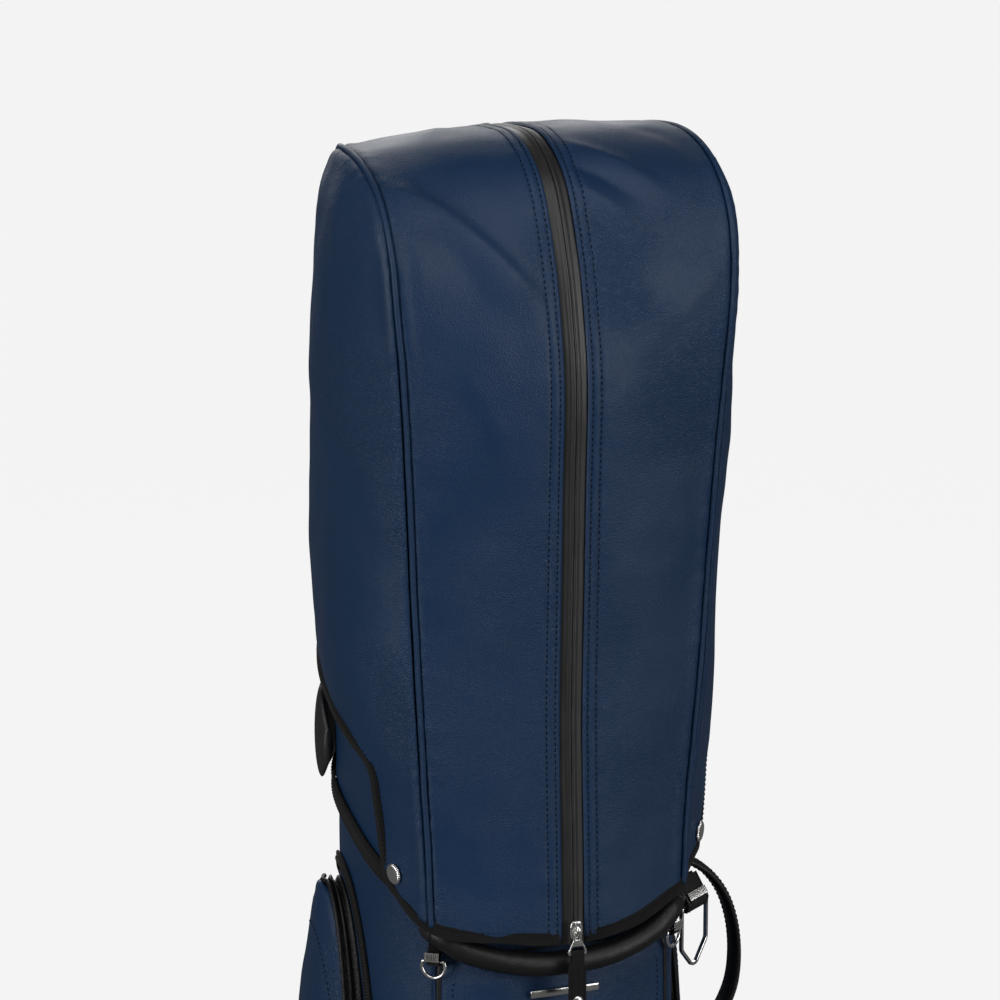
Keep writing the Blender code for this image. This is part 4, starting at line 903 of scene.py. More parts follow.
def piping(side, word):
    """Slightly uneven piping cord along one long seam."""
    t = even_rows(0.07, BACK_HEM - 0.05, 560)
    line = resample(mirror(seam(t), side), 0.0022, smooth=False)
    line = settle(line) + 0.00018 * np.stack([ripple(line, 0.03, 41 + k) for k in range(3)], -1)
    cord(f"piping_cord_{word}", line, PIPING_R, "navy_leather", "hood", [f"piping_{word}"],
         up=(side, 0.0, 0.12))


def hem_stations():
    """Right half of the hem line, from the zipper to the middle back."""
    front_x, back_x = float(seam(0)[0]), float(seam(BACK_HEM)[0])
    line = [strip(np.array(x), np.array(0.0)) for x in np.linspace(ZIP_HALF + 0.0012, front_x, 6)]
    corner_y, corner_z = FLAP_EDGE_Y - FLAP_CORNER_R, FLAP_Z + FLAP_CORNER_R
    front_z = float(seam(0)[2])
    for r in (0.03, 0.08, 0.12):
        line.append(low_side(r, front_z + (FLAP_Z - front_z) * r / FLAP_CORNER_SHARE))
    for turn in np.linspace(0, math.pi / 2, 5):
        r = (corner_y + FLAP_CORNER_R * math.sin(turn) - float(seam(1)[1])) / SIDE_DEPTH
        line.append(low_side(r, corner_z - FLAP_CORNER_R * math.cos(turn)))
    line += [low_side(FLAP_R, z) for z in (0.775, 0.800, CUT_Z - 0.006)]
    cut_stations = (FLAP_R + 0.02, 0.32, 0.42, 0.52, 0.62, 0.72, 0.82, 0.91, 0.97)
    line += [low_side(r, cut_edge_z(r)) for r in cut_stations]
    line += [strip(np.array(x), np.array(float(BACK_HEM))) for x in np.linspace(back_x - 0.004, 0, 6)]
    return np.array(line)


def hem_binding():
    """Webbing tape round the whole hem, thinner to its edges, with one row of stitches."""
    half = resample(hem_stations(), 0.0022)
    line = np.concatenate([half, mirror(half[:-1], -1)[::-1]])
    outward = line - np.array((0, BODY_CENTRE_Y, 0))
    outward[:, 2] = 0
    normals = unit(outward * np.abs(outward))
    along = tangents(line)
    across = unit(np.cross(normals, along))
    across = unit(across + np.roll(across, 1, 0) + np.roll(across, -1, 0))
    across[0], across[-1] = across[1], across[-2]
    normals = unit(np.cross(along, across))
    wave = ripple(line, 0.05, 51)[:, None]
    centres = line + across * (BINDING_WIDTH / 2) - normals * (SKIN / 2 + 0.0002) + normals * wave * 0.0006
    centres = settle(centres + across * ripple(line, 0.035, 52)[:, None] * 0.0004)
    section = soft_box(BINDING_WIDTH, 0.0036, 4.0)
    bend = (np.abs(section[:, 0]) / (BINDING_WIDTH / 2)) ** 2
    section[:, 1] *= 1 - 0.18 * bend
    sweep("hem_binding_tape", centres, across, normals, section, "black_webbing", "hood", ["hem_binding"])
    top = centres + across * (BINDING_WIDTH / 2 - 0.0018) + normals * 0.00168
    stitches("hem_stitch", [(top[2:-2], normals[2:-2])], "black_thread", "hood", pitch=0.0033, length=0.0023,
             radius=0.00026)


# ---- Zipper -------------------------------------------------------------------------------------

TOOTH_PITCH = 0.00112


def zipper():
    """Coated tapes that meet over the hidden chain, whose teeth show through them as fine ribs."""
    t = even_rows(0, CROWN_SEAM - 0.01, 1500)[:, None]
    for side, word in SIDES:
        x = np.array((0.12, 0.22, 0.45, 0.9, 1.5, 2.1, 2.6, 3.1, 3.7, 4.6, 5.6, 6.6, 7.4, 8.2)) / 1000
        x = np.broadcast_to(x, (len(t), len(x)))
        points = mirror(strip(x, t), side)
        points[..., 0] += zip_wander(t)
        normals = outward_normals(points)
        along = np.interp(np.broadcast_to(t, x.shape), MIDDLE_RUN, MIDDLE_LENGTH)
        relief = -0.0011 + 0.0011 * (1 - smooth_step(x, 0.0016, 0.0042)) - 0.0006 * bell(x - 0.0001, 0.0003)
        relief = relief - 0.0007 * smooth_step(x, 0.0060, 0.0082)
        ribs = np.cos(along * 2 * math.pi / TOOTH_PITCH) * (1 - smooth_step(x, 0.0022, 0.0034))
        relief = relief + 0.00007 * ribs
        relief = relief + 0.00016 * ripple(np.stack([along, x * 4], -1), 0.04, 61 + side)
        points = points + normals * relief[..., None]
        sheet(f"tape_{word}", points, "zip_tape", "hood", [f"zip_tape_{word}"], thickness=0.0009)
    t = t[::4]
    line = strip(np.zeros(len(t)), t[:, 0])
    line[:, 0] += zip_wander(t[:, 0])
    across, normals = frames(line, -outward_from_middle(line))
    sweep("coil_chain", line - normals * 0.0021, across, normals, soft_box(0.0058, 0.0016, 3.0, 16),
          "zip_chain", "hood", ["zip_chain"])


def outward_from_middle(line):
    """Directions away from the bag along a line in its middle plane."""
    along = tangents(line)
    return unit(np.cross(along, np.array((1.0, 0, 0))))


def snap_cap(word, place):
    """Domed cap with a milled rim and a shallow ring on its face."""
    radius = 0.0070
    profile = [
        (0.0, 0.00240), (0.0018, 0.00238), (0.0034, 0.00228), (0.0042, 0.00214), (0.0046, 0.00196),
        (0.0050, 0.00200), (0.0056, 0.00188), (0.0062, 0.00160), (0.0067, 0.00120), (radius, 0.00070),
        (radius, 0.00030), (0.0064, 0.0001), (0.0018, 0.0001), (0.0018, -0.0027), (0.0045, -0.0027),
        (0.0045, -0.0047), (0.0, -0.0047)]
    teeth = 30

    def notch(i, a):
        on_rim = 6 <= i <= 10
        return -0.050 * on_rim * (np.cos(a * teeth) > 0.2)

    turned(f"snap_{word}", profile, place, "silver_metal", "hood", [f"snap_cap_{word}"], segments=120,
           notch=notch)


def snaps():
    """Caps on the two flaps, facing as the settled leather does, and one on the back panel."""
    r = (SNAP_Y - float(seam(1)[1])) / SIDE_DEPTH
    step = 0.004
    for side, word in SIDES:
        flap = lambda dr, dz: settle(mirror(low_side(r + dr, SNAP_Z + dz), side))
        normal = unit(np.cross(flap(step, 0) - flap(-step, 0), flap(0, step) - flap(0, -step)))
        if normal[0] * side < 0:
            normal = -normal
        snap_cap(word, place_at(flap(0, 0), normal))
    last, before = HOOD_PROFILE[-1, 2], HOOD_PROFILE[-2, 2]
    t = BACK_HEM - (REAR_SNAP_Z - last) / (before - last)
    snap_cap("rear", place_at(strip(np.array(0.0), np.array(t)), (0, 1, 0.05)))


def build_hood():
    for side, word in SIDES:
        hood_front(side, word)
        hood_side(side, word)
        piping(side, word)
    hood_back()
    zipper()
    hem_binding()
    snaps()


build_hood()

# ---- Bag helpers --------------------------------------------------------------------------------


def oval_radius(angle, half_x, half_y):
    c, s = np.abs(np.cos(angle)), np.abs(np.sin(angle))
    return ((c / half_x) ** BODY_POWER + (s / half_y) ** BODY_POWER) ** (-1 / BODY_POWER)


def oval_point(angle, half_x, half_y, z):
    radius = oval_radius(angle, half_x, half_y)
    x, y = radius * np.cos(angle), BODY_CENTRE_Y + radius * np.sin(angle)
    return np.stack(np.broadcast_arrays(x, y, z), -1)


def oval_normal(angle, half_x=BODY_X, half_y=BODY_Y):
    e = 0.01
    along = oval_point(angle + e, half_x, half_y, 0.0) - oval_point(angle - e, half_x, half_y, 0.0)
    return unit(np.stack([along[..., 1], -along[..., 0], np.zeros(along.shape[:-1])], -1))


def on_oval(angle, z, off, half_x, half_y):
    angle, z, off = np.broadcast_arrays(*(np.asarray(v, float) for v in (angle, z, off)))
    return oval_point(angle, half_x, half_y, z) + oval_normal(angle, half_x, half_y) * off[..., None]


def on_wall(angle, z, off=0.0):
    return on_oval(angle, z, off, BODY_X, BODY_Y)


def on_cuff(angle, z, off=0.0):
    return on_oval(angle, z, off, CUFF_X, CUFF_Y)


def trim_z(y):
    """Height of the cuff's lower trim, which rises to the back."""
    return 0.7340 + 0.32 * (y + 0.065)


def rim_z(y):
    """Height of the cuff's rim, which rises to the back."""
    return 0.8590 + 0.34 * y


def round_angles(count=240):
    return np.radians(90) + 2 * math.pi * np.arange(count + 1) / count


def weld(obj):
    merge = obj.modifiers.new("weld", "WELD")
    merge.merge_threshold = 0.00002
    obj.modifiers.move(len(obj.modifiers) - 1, 0)


def oval_band(name, outline, finish, stands_for, relief=None):
    """Closed ring round the foot: outline gives (out, z), with out measured from the tray's wall."""
    angles = round_angles()[:-1]
    points = np.stack([oval_point(angles, TRAY_X + out, TRAY_Y + out, z) for out, z in outline])
    if relief is not None:
        height = relief(np.arange(len(outline))[:, None], angles[None])
        points = points + oval_normal(angles)[None] * height[..., None]
    data = solid_mesh(name, points.reshape(-1, 3), tube_faces(*points.shape[:2], True), grid_uv(points))
    return add_piece(name, data, finish, "bag", stands_for, sharp=35)


def plate(name, outlines, thickness, place, finish, body, stands_for=(), bevel=0.0003):
    """Flat piece with rounded edges; the first outline is the edge, the rest are holes."""
    curve = bpy.data.curves.new(name, "CURVE")
    curve.dimensions = "2D"
    curve.fill_mode = "BOTH"
    curve.extrude = thickness / 2 - bevel
    curve.bevel_depth = bevel
    curve.bevel_resolution = 3
    curve.offset = -bevel
    for outline in outlines:
        line = curve.splines.new("POLY")
        line.points.add(len(outline) - 1)
        for knot, (x, y) in zip(line.points, outline):
            knot.co = (x, y, 0, 1)
        line.use_cyclic_u = True
    rough = bpy.data.objects.new(name + "_outline", curve)
    data = bpy.data.meshes.new_from_object(rough)
    bpy.data.objects.remove(rough)
    data.name = name
    data.materials.clear()
    bm = bmesh.new()
    bm.from_mesh(data)
    bmesh.ops.remove_doubles(bm, verts=bm.verts, dist=1e-6)
    bm.to_mesh(data)
    bm.free()
    data.transform(place)
    return add_piece(name, data, finish, body, stands_for, sharp=50)


def both_sides(half):
    """Outline from its right half, listed from the top down, with the same points on the left."""
    return list(half) + [(-x, y) for x, y in half[::-1]]


def rounded(corners, radius, turns=5):
    """Outline with each corner replaced by a small arc."""
    out = []
    corners = np.asarray(corners, float)
    for i, corner in enumerate(corners):
        before, after = corners[i - 1] - corner, corners[(i + 1) % len(corners)] - corner
        cut = min(radius, np.linalg.norm(before) * 0.45, np.linalg.norm(after) * 0.45)
        a, b = corner + unit(before) * cut, corner + unit(after) * cut
        for s in np.linspace(0, 1, turns):
            out.append((1 - s) ** 2 * a + 2 * s * (1 - s) * corner + s * s * b)
    return [tuple(p) for p in out]


# ---- Tube, cuff, divider and base ---------------------------------------------------------------


def wall_panel(word, start):
    """A quarter of the tube, from start degrees on, sunk along its two edges."""
    near = np.array((0.002, 0.012, 0.022, 0.032, 0.046))
    turn = np.concatenate([near, np.linspace(0.07, 1.50, 40), math.pi / 2 - near[::-1]])
    angles = np.radians(start) + turn
    share = np.linspace(0, 1, 150)[:, None]
    top = trim_z(oval_point(angles, BODY_X, BODY_Y, 0.0)[:, 1]) + 0.0060
    z = WALL_FOOT + (top - WALL_FOOT)[None] * share
    points = on_wall(angles[None], z)
    normals = oval_normal(angles)[None]
    gap = np.minimum(angles - angles[0], angles[-1] - angles)[None] * 0.1
    spots = np.stack(np.broadcast_arrays(angles[None] * 0.1, z), -1)
    calm = smooth_step(gap, 0.001, 0.015)
    relief = calm * (0.0005 * ripple(spots, 0.10, 71) + 0.0002 * ripple(spots, 0.035, 72))
    relief = relief - 0.0009 * bell(gap, 0.0012)
    points = points + normals * relief[..., None]
    sheet(f"wall_{word}", points, "navy_leather", "bag", [f"bag_{word}_panel"], thickness=0.003)


def tube_and_cuff():
    """Four wall panels with piping in their seams, then the cuff with its rim and lower trim."""
    for word, start in (("front", -135), ("right", -45), ("back", 45), ("left", 135)):
        wall_panel(word, start)
    for i, corner in enumerate((-135, -45, 45, 135)):
        angle = math.radians(corner)
        top = float(trim_z(oval_point(angle, BODY_X, BODY_Y, 0.0)[1]))
        z = np.linspace(TRAY_TOP - 0.01, top, 220)
        line = on_wall(np.full(220, angle), z, -0.0002)
        cord(f"wall_piping_{i}", line, 0.0013, "navy_leather", "bag",
             up=(math.cos(angle), math.sin(angle), 0))
    angles = round_angles(280)
    low = trim_z(oval_point(angles, CUFF_X, CUFF_Y, 0.0)[:, 1]) + 0.0070
    high = rim_z(oval_point(angles, CUFF_X, CUFF_Y, 0.0)[:, 1]) - 0.0002
    z = low[None] + (high - low)[None] * np.linspace(0, 1, 40)[:, None]
    points = on_cuff(angles[None], z)
    spots = np.stack(np.broadcast_arrays(np.cos(angles)[None] * 0.1, np.sin(angles)[None] * 0.1, z), -1)
    points = points + oval_normal(angles)[None] * (0.00035 * ripple(spots, 0.08, 75))[..., None]
    weld(sheet("cuff_skin", points, "navy_leather", "bag", ["cuff"], thickness=0.004))
    angles = angles[:-1]
    rim = oval_point(angles, CUFF_X - 0.0020, CUFF_Y - 0.0020, 0.0)
    rim[:, 2] = rim_z(rim[:, 1]) + 0.0031
    band("rim_binding", rim, Z, soft_box(0.0064, 0.0058, 3.0, 20), "black_webbing", "bag", ["cuff_rim"], True)
    trim = oval_point(angles, CUFF_X + 0.0016, CUFF_Y + 0.0016, 0.0)
    trim[:, 2] = trim_z(trim[:, 1]) + 0.0065
    band("trim_band", trim, Z, soft_box(0.0026, 0.0130, 5.0, 28), "black_webbing", "bag",
         ["cuff_lower_trim"], True)
    edge = trim + oval_normal(angles) * 0.00125
    rows = [(edge + Z * drop, oval_normal(angles)) for drop in (-0.0048, 0.0048)]
    stitches("trim_stitch", rows, "black_thread", "bag", **STRAP_STITCH)


def divider():
    """Padded top grid with bound bars, and the fabric sheets that hang from it."""
    top = lambda y: rim_z(y) - 0.0050
    angles = round_angles(220)[:-1]
    ring = oval_point(angles, CUFF_X - 0.0078, CUFF_Y - 0.0078, 0.0)
    ring[:, 2] = top(ring[:, 1]) - DIVIDER_HEIGHT / 2
    band("divider_ring", ring, Z, soft_box(0.0068, DIVIDER_HEIGHT, 4.0, 30), "moulded_black", "bag",
         ["divider_top"], True)
    for word, start, end in (("cross", (-0.094, BODY_CENTRE_Y), (0.094, BODY_CENTRE_Y)),
                             ("middle", (0.0, -0.080), (0.0, 0.092))):
        line = np.array(start) + (np.array(end) - start) * np.linspace(0, 1, 60)[:, None]
        line = np.column_stack([line, top(line[:, 1]) - DIVIDER_HEIGHT / 2])
        band(f"divider_bar_{word}", line, Z, soft_box(0.0120, 0.0298, 3.4, 32), "moulded_black", "bag")
    reach_x, reach_y = BODY_X - 0.0042, BODY_Y - 0.0042
    spans = {"cross": ((-reach_x, BODY_CENTRE_Y), (reach_x, BODY_CENTRE_Y)),
             "front": ((0.0, BODY_CENTRE_Y - reach_y), (0.0, BODY_CENTRE_Y - 0.0016)),
             "rear": ((0.0, BODY_CENTRE_Y + 0.0016), (0.0, BODY_CENTRE_Y + reach_y))}
    for word, (start, end) in spans.items():
        s, rise = np.linspace(0, 1, 40), np.linspace(0, 1, 90)
        plan = np.array(start) * (1 - s)[None, :, None] + np.array(end) * s[None, :, None]
        high = top(plan[..., 1]) - 0.0305
        z = 0.016 + (high - 0.016) * rise[:, None]
        plan = np.broadcast_to(plan, (90, 40, 2)).copy()
        points = np.concatenate([plan, z[..., None]], -1)
        fade = np.sin(math.pi * s)[None] * np.sin(math.pi * rise)[:, None]
        drape = 0.0022 * fade * ripple(points, 0.13, 81)
        points[..., 1 if word == "cross" else 0] += 0.0010 + drape
        sheet(f"divider_cloth_{word}", points, "lining", "bag", [f"divider_sheet_{word}"], thickness=0.002)


def base():
    """Rubber sole with a tread, and the ribbed tray above it."""
    sole = ((-0.0045, 0.0000), (-0.0036, 0.0004), (-0.0030, 0.0015), (-0.0030, 0.0058), (-0.0180, 0.0060),
            (-0.0260, 0.0060), (-0.0260, 0.0012), (-0.0200, 0.0000), (-0.0180, 0.0012), (-0.0140, 0.0012),
            (-0.0120, 0.0000))
    oval_band("sole_ring", sole, "rubber", ["rubber_sole"])
    tread = ((-0.0270, 0.0058), (-0.0270, 0.0016), (-0.0340, 0.0004), (-0.0410, 0.0004), (-0.0480, 0.0016),
             (-0.0560, 0.0004), (-0.0640, 0.0004), (-0.0640, 0.0058))
    oval_band("sole_tread", tread, "rubber", [])
    tray = ((-0.0560, 0.0063), (-0.0020, 0.0063), (0.0000, 0.0070), (0.0022, 0.0090), (0.0030, 0.0123),
            (0.0028, 0.0180), (0.0024, 0.0200), (0.0009, 0.0206), (0.0008, 0.0300), (0.0008, 0.0400),
            (0.0010, 0.0520), (0.0024, 0.0528), (0.0026, 0.0560), (0.0018, 0.0590), (0.0002, 0.0602),
            (-0.0020, 0.0602), (-0.0034, 0.0594), (-0.0036, 0.0560), (-0.0036, 0.0103), (-0.0560, 0.0103))

    def ribs(row, angle):
        middle = (row >= 8) & (row <= 10)
        return np.where(middle, 0.0012 * (np.cos(angle * 60) > 0.1), 0.0)

    oval_band("tray_shell", tray, "moulded_black", ["base_tray"], ribs)
    wall = on_wall(round_angles(200)[None], TRAY_FLOOR)
    centre = np.array((0, BODY_CENTRE_Y, TRAY_FLOOR))
    disc = centre + (wall - centre) * np.linspace(0.02, 0.5, 20)[:, None, None]
    sheet("tray_floor", disc, "moulded_black", "bag", thickness=0.0016)


# ---- Pockets ------------------------------------------------------------------------------------


def arch_width(z, low, high, arch):
    """Share of a pocket's half width that its arched top leaves at height z."""
    corner = (high - low) * arch
    reach = np.clip((z - (high - corner)) / corner, 0, 1)
    return np.sqrt(np.maximum(1 - reach ** 2, 0))


def arch_line(low, high, arch):
    """(u, z) up a pocket's left edge, over its arch and down its right edge, with u from -1 to 1."""
    corner = (high - low) * arch
    turn = np.linspace(0, math.pi, 60)
    arc = np.stack([-np.cos(turn), high - corner + corner * np.sin(turn)], 1)
    left = np.stack([-np.ones(40), np.linspace(low, high - corner, 40)], 1)[:-1]
    return np.concatenate([left, arc, left[::-1] * (-1, 1)])


def pocket_border(low, high, arch, count=260):
    """(u, z) round a pocket, evenly spaced: the arch line and the way back along the bottom."""
    bottom = np.stack([np.linspace(1, -1, 30), np.full(30, low)], 1)
    ring = np.concatenate([arch_line(low, high, arch)[:-1], bottom])
    run = run_lengths(ring * (0.08, 1.0), 0)
    return pick(np.linspace(0, run[-1], count, endpoint=False), run, ring)


def pocket_off(u, z, low, high, depth, edge_depth):
    """How far a pocket's front stands off the wall, for u and its height as shares of its half sizes."""
    w = 2 * (z - low) / (high - low) - 1
    fade = (1 - 0.75 * np.abs(u) ** 2.4) * (1 - 0.75 * np.abs(w) ** 4)
    return edge_depth + (depth - edge_depth) * fade


def pocket(name, start, end, low, high, arch, depth, edge_depth, seed, finish="navy_leather",
           gusset="black_leather", quilted=False, tucked=False):
    """Padded pocket: swollen front with a rolled, topstitched edge over a folded gusset.

    A tucked one has its upper edge pressed flat to the wall, with no piping or stitches along it.
    """
    start, end = math.radians(start), math.radians(end)
    angle_at = lambda u: start + (end - start) * (u + 1) / 2

    def stand_off(u, z):
        width = np.maximum(arch_width(z, low, high, arch), 0.05)
        off = pocket_off(np.clip(u / width, -1, 1), z, low, high, depth, edge_depth)
        return off - TUCKED_DROP * smooth_step(z, high - 0.020, high) if tucked else off

    ring = pocket_border(low, high, arch)
    centre = np.array((0.0, (low + high) / 2))
    shares = np.concatenate([np.linspace(0.0, 0.86, 34)[1:], (0.90, 0.93, 0.952, 0.968, 0.980, 0.990, 0.997)])
    flat = centre + (ring[None] - centre) * shares[:, None, None]
    u, z = flat[..., 0], flat[..., 1]
    half = abs(end - start) / 2 * 0.1
    border = np.stack([ring[:, 0] * half, ring[:, 1]], 1)
    spots = np.stack([u * half, z], -1)
    gap = np.array([np.linalg.norm(row[:, None] - border[None], axis=2).min(1) for row in spots])
    calm = smooth_step(gap, 0.002, 0.022)
    relief = calm * (0.0012 * ripple(spots, 0.085, seed) + 0.00035 * ripple(spots, 0.028, seed + 1))
    relief = relief - 0.0014 * bell(gap, 0.0016) + 0.0005 * bell(gap - 0.004, 0.003)
    relief = relief - 0.0004 * bell(gap - POCKET_STITCH, 0.0008)
    if quilted:
        line = np.abs((z - low) / QUILT_PITCH - np.round((z - low) / QUILT_PITCH)) * QUILT_PITCH
        relief = relief - 0.0030 * bell(line, 0.0035) * smooth_step(gap, 0.004, 0.012)
    points = on_wall(angle_at(u), z, stand_off(u, z) + relief)
    middle = on_wall(angle_at(np.zeros((1, len(ring)))), np.full((1, len(ring)), centre[1]), depth)
    closed = np.concatenate([middle, points])
    closed = np.concatenate([closed, closed[:, :1]], axis=1)
    skin = sheet(name + "_front", closed, finish, "bag", [name], thickness=0.0018)
    weld(skin)
    row = int(np.argmin(np.abs(gap.mean(1) - POCKET_STITCH)))
    normals = outward_normals(closed)[row + 1, :-1]
    shown = np.arange(len(ring))
    if tucked:
        free = ring[:, 1] < high - 0.008
        shown = np.roll(shown, -int(np.flatnonzero(~free).max()) - 1)[:int(free.sum())]
    sewn_with = "navy_thread" if finish == "navy_leather" else "black_thread"
    stitches(name + "_stitch", [(points[row][shown], normals[shown])], sewn_with, "bag", radius=0.0003)
    edge = stand_off(ring[:, 0], ring[:, 1])
    if tucked:
        edge = np.maximum(edge, 0.0012)
    lip = on_wall(angle_at(ring[:, 0]), ring[:, 1], edge - 0.0006)
    facing = oval_normal(angle_at(ring[:, 0]))
    spread = lip - lip.mean(0)
    away = unit(spread - facing * (spread * facing).sum(-1, keepdims=True))
    cord(name + "_piping", (lip + away * 0.0004)[shown], 0.0019 if tucked else 0.0015, "black_leather",
         "bag", closed=not tucked, up=facing[shown])
    depths = np.linspace(0, 1, 22)[:, None]
    pleats = max(round(edge_depth / 0.006), 1)
    folds = 0.0022 * np.sin(depths * math.pi * 2 * pleats) * np.sin(depths * math.pi) ** 0.3
    folds = folds * min(edge_depth / 0.008, 1)
    root = 0.0002
    side = on_wall(angle_at(ring[:, 0])[None], ring[:, 1][None], root + (edge[None] - 0.0008 - root) * depths)
    side = side - away[None] * (0.0012 - folds)[..., None]
    side = np.concatenate([side, side[:, :1]], axis=1)
    weld(sheet(name + "_gusset", side, gusset, "bag", thickness=0.0008))
    return skin


def pocket_zip(name, start, end, low, high, arch):
    """Coil between two narrow tapes, laid up one side of a pocket, over its top and down again."""
    u, z = arch_line(low, high, arch).T
    line = on_wall(np.radians(start + (end - start) * (u + 1) / 2), z, 0.0022)
    line = resample(line, 0.0018, smooth=False)
    angle = np.arctan2(line[:, 1] - BODY_CENTRE_Y, line[:, 0])
    normals = oval_normal(angle)
    along = tangents(line)
    across = unit(np.cross(normals, along))
    for word, sign in (("inner", 1), ("outer", -1)):
        centre = line + across * sign * 0.0029 - normals * 0.0006
        sweep(f"{name}_{word}", centre, across, normals, soft_box(0.0040, 0.0022, 2.6, 16),
              "black_webbing", "bag", [name] if word == "inner" else [])
    sweep(name + "_bed", line - normals * 0.0010, across, normals, soft_box(0.0034, 0.0010, 3.0, 12),
          "zip_tape", "bag")
    run = run_lengths(line, 0)
    turns = int(run[-1] / COIL_PITCH)
    a = np.linspace(0, turns * 2 * math.pi, turns * 9)
    at = np.linspace(0, run[-1], len(a))
    up = pick(at, run, normals)
    coil = pick(at, run, line) + unit(pick(at, run, across)) * (0.00125 * np.cos(a))[:, None]
    coil = coil + unit(up) * (0.0008 * np.sin(a))[:, None]
    cord(name + "_coil", coil, 0.00042, "zip_chain", "bag", sides=5, up=up)


def toggle(name, angle, z):
    """Pocket slider with its long metal pull, moving with the body of the same name."""
    angle = math.radians(angle)
    place = place_at(on_wall(angle, z, 0.0078), oval_normal(np.asarray(angle)))
    outline = rounded(both_sides([(0.0036, 0.0070), (0.0042, -0.0010), (0.0026, -0.0060), (0.0030, -0.0280)]),
                      0.0016)
    hole = rounded([(-0.0012, -0.0250), (-0.0012, -0.0200), (0.0012, -0.0200), (0.0012, -0.0250)], 0.0006)
    plate(name + "_pull", [outline, hole], 0.0024, place, "silver_metal", name, [name], bevel=0.0006)
    rise = np.array([(0, 0.0052, 0.0004), (0, 0.0044, 0.0018), (0, 0.0020, 0.0026), (0, -0.0010, 0.0018),
                     (0, -0.0018, 0.0004)])
    world = np.array(place)
    line = resample(rise, 0.0004) @ world[:3, :3].T + world[:3, 3]
    cord(name + "_bridge", line, 0.0007, "silver_metal", name, sides=10, up=tuple(world[:3, 0]))


TUCKED_DROP = 0.0040            # how far a tucked pocket's upper edge sinks
POCKET_STITCH = 0.0085          # topstitch row, from the pocket's edge
QUILT_PITCH = 0.035
PULL_HEIGHT = 0.450             # side pocket sliders
FRONT_POCKET = dict(start=-133, end=-47, low=0.470, high=0.702, arch=0.05)
BALL_POCKET = dict(start=-131, end=-49, low=0.110, high=0.420, arch=0.22)
BALL_ZIP = dict(start=-137, end=-43, low=0.125, high=0.4320, arch=0.22)
SIDE_POCKET = dict(start=-9, end=48, low=0.110, high=0.716, arch=0.22)
SIDE_ZIP = dict(start=-15, end=54, low=0.130, high=0.7280, arch=0.22)
SPINE_PAD = dict(start=66, end=114, low=0.120, high=0.680, arch=0.05)


def mirror_angles(span):
    return dict(span, start=180 - span["end"], end=180 - span["start"])


def pockets():
    pocket("front_pocket", depth=0.0100, edge_depth=0.0036, seed=91, tucked=True, **FRONT_POCKET)
    pocket("ball_pocket", depth=0.0450, edge_depth=0.0220, seed=93, **BALL_POCKET)
    pocket("side_pocket_right", depth=0.0320, edge_depth=0.0100, seed=95, **SIDE_POCKET)
    pocket("side_pocket_left", depth=0.0320, edge_depth=0.0100, seed=97, **mirror_angles(SIDE_POCKET))
    pad = pocket("spine_pad", depth=0.0120, edge_depth=0.0060, seed=99, finish="black_webbing",
                 gusset="black_webbing", quilted=True, **SPINE_PAD)
    pocket_zip("side_pocket_zip_right", **SIDE_ZIP)
    pocket_zip("side_pocket_zip_left", **mirror_angles(SIDE_ZIP))
    pocket_zip("ball_pocket_zip", **BALL_ZIP)
    toggle("side_zip_slider_right", SIDE_ZIP["start"], PULL_HEIGHT)
    toggle("side_zip_slider_left", 180 - SIDE_ZIP["start"], PULL_HEIGHT)
    toggle("ball_zip_slider", BALL_ZIP["end"], 0.300)


# ---- Handles, rings and small hardware ----------------------------------------------------------


def lift_handle():
    """Stuffed tube across the front, with a seam along its underside and wrapped ends."""
    ends = math.radians(-45)
    root = on_wall(ends, 0.7190, 0.0012)
    out = oval_normal(np.asarray(ends))
    half = [root, root + out * 0.0060, np.array((0.0800, -0.0870, 0.7160))]
    for share in (0.78, 0.60, 0.40, 0.20, 0.0):
        bow = share ** 2.3
        half.append(np.array((0.0850 * share, -0.1060 + 0.0210 * bow, 0.6945 + 0.0215 * bow)))
    half = np.array(half)
    line = resample(np.concatenate([half, mirror(half[:-1], -1)[::-1]]), 0.0012)
    share = np.linspace(-1, 1, len(line))
    radius = 0.0078 * (1 - 0.16 * smooth_step(np.abs(share), 0.80, 1.0))
    radius = radius * (1 + 0.010 * ripple(line, 0.02, 101))
    across, normals = frames(line, (0, -0.25, 1))
    sides = 28
    a = np.arange(sides) * 2 * math.pi / sides
    pinch = 1 - 0.10 * bell(np.angle(np.exp(1j * (a + math.pi / 2))), 0.16)
    section = (round_section(1.0, sides) * pinch[:, None])[None] * radius[:, None, None]
    crease = 1 + 0.012 * ripple(np.repeat(line[:, None], sides, 1) + section[..., :1] * 0.5, 0.007, 103)
    handle = sweep("lift_handle_grip", line, across, normals, section * crease[..., None], "soft_grip", "bag",
                   ["front_lift_handle"])
    for side, word in SIDES:
        i = int(np.argmin(np.abs(share - side * WRAP_SHARE)))
        part = line[max(i - 5, 0):i + 6]
        cord(f"handle_wrap_{word}", part, 0.0080, "black_leather", "bag", sides=sides)


